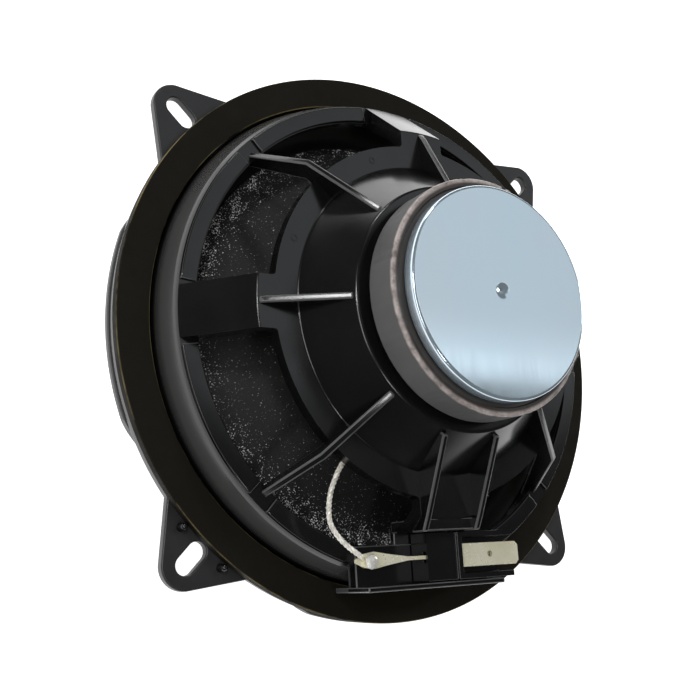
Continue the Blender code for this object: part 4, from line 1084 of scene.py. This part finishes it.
def yoke():
    front = MAGNET_REAR_Z + YOKE_GAP
    profile = [(r, YOKE_REAR_Z - depth) for r, depth in DIMPLE]
    profile += [(YOKE_R - inset, YOKE_REAR_Z - depth) for inset, depth in YOKE_RIM]
    profile += [
        (YOKE_R, front + 0.4),
        (YOKE_R - 0.4, front),
        (POLE_R + 0.4, front),
        (POLE_R, front - 0.4),
        (POLE_R, POLE_FRONT_Z),
        (POLE_BORE_R, POLE_FRONT_Z),
        (POLE_BORE_R, POLE_BORE_END_Z),
        (0.0, POLE_BORE_END_Z + 1.0),
    ]
    finish_piece(keep_flats(turned("yoke_body", profile)), FRAME_BODY, YOKE_ZINC, ["yoke"])


def top_plate():
    low, high = (corner.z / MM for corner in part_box("top_plate"))
    outer, inner = TOP_PLATE_R, TOP_PLATE_BORE_R
    section = [(outer, high), (outer, low), (inner, low), (inner, high)]
    ring = lathe("top_plate_ring", fillet(section, 0.3, 2), 144)
    finish_piece(ring, FRAME_BODY, STEEL, ["top_plate"])


# ---------------------------------------------------------------- leads and terminals


def smooth_route(points, spacing):
    """Even points, in metres, along a smooth curve through the route's own points, in millimetres."""
    knots = [Vector(p) for p in points]
    knots = [2 * knots[0] - knots[1], *knots, 2 * knots[-1] - knots[-2]]
    fine = []
    for a, b, c, d in zip(knots, knots[1:], knots[2:], knots[3:]):
        count = max(2, round((c - b).length / spacing))
        for i in range(count):
            t = i / count
            bend = 2 * a - 5 * b + 4 * c - d
            twist = 3 * b - a - 3 * c + d
            curve = 2 * b + (c - a) * t + bend * t**2 + twist * t**3
            fine.append(curve * 0.5 * MM)
    return [*fine, knots[-2] * MM]


def frames(route):
    """Each point of a route, with two directions across it that turn as little as they can."""
    side = Vector((0.3, 0.2, 1.0))
    for i, point in enumerate(route):
        along = (route[min(i + 1, len(route) - 1)] - route[max(i - 1, 0)]).normalized()
        side = (side - along * side.dot(along)).normalized()
        yield point, side, along.cross(side)


def around(point, side, other, angle, distance):
    return point + (side * math.cos(angle) + other * math.sin(angle)) * distance


def tube(form, route, radius, sides):
    """Adds a round tube, in metres, along the route to the form, with closed ends."""
    rows = []
    for point, side, other in frames(route):
        turns = [2 * math.pi * k / sides for k in range(sides)]
        rows.append([form.verts.new(around(point, side, other, turn, radius)) for turn in turns])
    for a, b in zip(rows, rows[1:]):
        for k in range(sides):
            n = (k + 1) % sides
            form.faces.new((a[k], a[n], b[n], b[k]))
    form.faces.new(rows[0])
    form.faces.new(rows[-1])


def lead(name, route, braid):
    """A lead of strands wound round the route."""
    offset, radius, pitch = braid
    length = 0.0
    last = route[0]
    paths = [[] for _ in range(STRANDS)]
    for point, side, other in frames(route):
        length += (point - last).length
        last = point
        for k, path in enumerate(paths):
            angle = 2 * math.pi * (k / STRANDS + length / (pitch * MM))
            path.append(around(point, side, other, angle, offset * MM))
    form = bmesh.new()
    for path in paths:
        tube(form, path, radius * MM, STRAND_SIDES)
    kind, side_name = name.rsplit("_", 1)
    piece = from_form(f"{kind}_braid_{side_name}", form)
    piece.data.materials.append(TINSEL)
    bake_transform(piece)
    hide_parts(name)


LEAD_REAR_Z = cone_z(EYELET_R) + 2.3
LEAD_FRONT_Z = cone_z(EYELET_R) - 1.75
COIL_LEAD_ROUTES = {
    "left": [
        polar(EYELET_R + 0.9, EYELETS["left"], LEAD_REAR_Z),
        (-14.0, -27.6, 24.2),
        (-21.5, -33.4, 27.0),
        (-28.6, -39.4, 28.6),
        (-32.4, -45.8, 28.6),
        (-33.6, -50.8, 28.4),
        (-33.4, -54.9, 28.3),
        (-31.6, -58.2, 28.5),
        (-28.9, -61.1, 29.0),
        (-25.0, -64.0, 29.3),
    ],
    "right": [
        polar(EYELET_R + 0.9, EYELETS["right"], LEAD_REAR_Z),
        (3.4, -31.0, 24.4),
        (3.6, -38.5, 25.6),
        (3.0, -46.5, 23.6),
        (2.0, -53.5, 19.4),
        (0.9, -59.5, 16.0),
        (0.2, -63.0, 15.3),
    ],
}


def coil_leads():
    """Braided leads behind the cone, from its eyelets to the terminals."""
    for side, points in COIL_LEAD_ROUTES.items():
        route = smooth_route(points, 0.28)
        lead(f"coil_lead_{side}", route, COIL_BRAID)


def tweeter_leads():
    """Fine leads in front of the cone, from its eyelets to the holes in the tweeter's housing."""
    hole = LEAD_HOLE_PITCH_R
    for side, angle in EYELETS.items():
        points = [
            polar(EYELET_R - 0.8, angle, LEAD_FRONT_Z),
            polar(EYELET_R - 3.0, angle, LEAD_FRONT_Z - 0.9),
            polar(EYELET_R - 6.5, angle, LEAD_FRONT_Z + 0.6),
            polar(hole + 3.0, angle, LEAD_TURN_Z),
            polar(hole + 0.5, angle, LEAD_TURN_Z - 0.9),
            polar(hole, angle, LEAD_TURN_Z - 2.4),
            polar(hole, angle, LEAD_END_Z),
        ]
        lead(f"tweeter_lead_{side}", smooth_route(points, 0.25), TWEETER_BRAID)


# ---------------------------------------------------------------- nodes kept from the CAD


KEPT = {
    "cone_eyelet_left": BRASS,
    "cone_eyelet_right": BRASS,
    "voice_coil_former": FILM,
    "voice_coil_winding": COPPER,
    "tweeter_post": SATIN,
    "tweeter_housing": SATIN,
    "tweeter_faceplate": SATIN,
    "tweeter_dome": DOME_FILM,
    "tweeter_coil": COPPER,
    "tweeter_suspension": SILK,
    "tweeter_yoke": STEEL,
    "tweeter_magnet": STEEL,
    "tweeter_pole_plate": STEEL,
    "tweeter_screw": STEEL,
    "tweeter_capacitor": SLEEVE,
    "capacitor_tie": SATIN,
    "capacitor_lead": STEEL,
    "terminal_housing": BLACK,
    "terminal_tab_upper": TINNED,
    "terminal_tab_lower": TINNED,
    "solder_joint_left": SOLDER,
    "solder_joint_right": SOLDER,
}
BEVELLED = {"terminal_tab_upper": 0.18, "terminal_tab_lower": 0.18, "capacitor_tie": 0.15}


def kept_nodes():
    for name, look in KEPT.items():
        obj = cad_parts[name]
        obj.data.materials.clear()
        obj.data.materials.append(look)
        if name not in BEVELLED:
            continue
        weld = obj.modifiers.new("weld", "WELD")
        weld.merge_threshold = 0.005 * MM
        bevel(obj, BEVELLED[name], 2, 40.0)


# ---------------------------------------------------------------- stage and light


def backdrop():
    """A plain white wall round the floor, seen directly but not reflected in the speaker."""
    form = bmesh.new()
    angles = [360.0 * i / BACKDROP_STEPS for i in range(BACKDROP_STEPS)]
    feet = [form.verts.new(polar(BACKDROP_R, a, STAGE_Z)) for a in angles]
    heads = [form.verts.new(polar(BACKDROP_R, a, BACKDROP_HEIGHT)) for a in angles]
    for i in range(BACKDROP_STEPS):
        k = (i + 1) % BACKDROP_STEPS
        form.faces.new((feet[i], feet[k], heads[k], heads[i]))
    wall_round = from_form("backdrop", form)
    look = Look("backdrop_white", STAGE_WHITE, 0.8, specular=0.0)
    look.glow(FLOOR_GLOW)
    wall_round.data.materials.append(look.made)
    wall_round.visible_diffuse = False
    wall_round.visible_glossy = False
    wall_round.visible_shadow = False


def stage():
    """A plain white floor. It glows a little more on the far side, which lights the drum from behind."""
    form = bmesh.new()
    half = FLOOR_HALF
    corners = [(-half, -half), (half, -half), (half, half), (-half, half)]
    form.faces.new([form.verts.new((x, y, STAGE_Z)) for x, y in corners])
    floor = from_form("floor", form)
    look = Look("floor_white", STAGE_WHITE, 0.8, specular=0.1)
    look.glow(look.spread(look.along("Y"), *FAR_FLOOR_Y, FLOOR_GLOW, FAR_FLOOR_GLOW))
    floor.data.materials.append(look.made)


def area(name, centre, towards, size, radiance, colour):
    """A rectangular light that shines along the given direction with the given brightness."""
    data = bpy.data.lights.new(name, "AREA")
    data.shape = "RECTANGLE"
    data.size, data.size_y = size
    data.energy = radiance * math.pi * size[0] * size[1]
    data.color = colour
    obj = link(bpy.data.objects.new(name, data))
    obj.location = centre
    obj.rotation_mode = "QUATERNION"
    obj.rotation_quaternion = Vector(towards).to_track_quat("-Z", "Y")
    obj.visible_camera = False


def panel(name, azimuth, elevation, size, radiance):
    """A light over the speaker, in the given direction from its magnet."""
    away = polar(math.cos(math.radians(elevation)), azimuth, math.sin(math.radians(elevation)))
    area(name, away * LIGHT_DISTANCE, -away, (size, size), radiance, WHITE)


def overhead(name, x_range, y_range, drop, radiance):
    """A level panel above the far side, which the rear disc reflects."""
    centre = (sum(x_range) / 2, sum(y_range) / 2, OVERHEAD_Z - drop)
    size = (x_range[1] - x_range[0], y_range[1] - y_range[0])
    area(name, centre, (0.0, 0.0, -1.0), size, radiance, OVERHEAD_COLOUR)


def lights():
    for light in OVERHEADS:
        overhead(*light)
    for light in PANELS:
        panel(*light)
    world = bpy.data.worlds.new("studio")
    bpy.context.scene.world = world
    world.use_nodes = True
    back = world.node_tree.nodes["Background"]
    back.inputs["Strength"].default_value = SKY
    back.inputs["Color"].default_value = (*WHITE, 1.0)
    bpy.context.scene.view_settings.view_transform = "Standard"


camera()
basket()
gasket()
trim_ring()
surround()
spider()
cone()
magnet()
yoke()
top_plate()
coil_leads()
tweeter_leads()
kept_nodes()
stage()
backdrop()
lights()
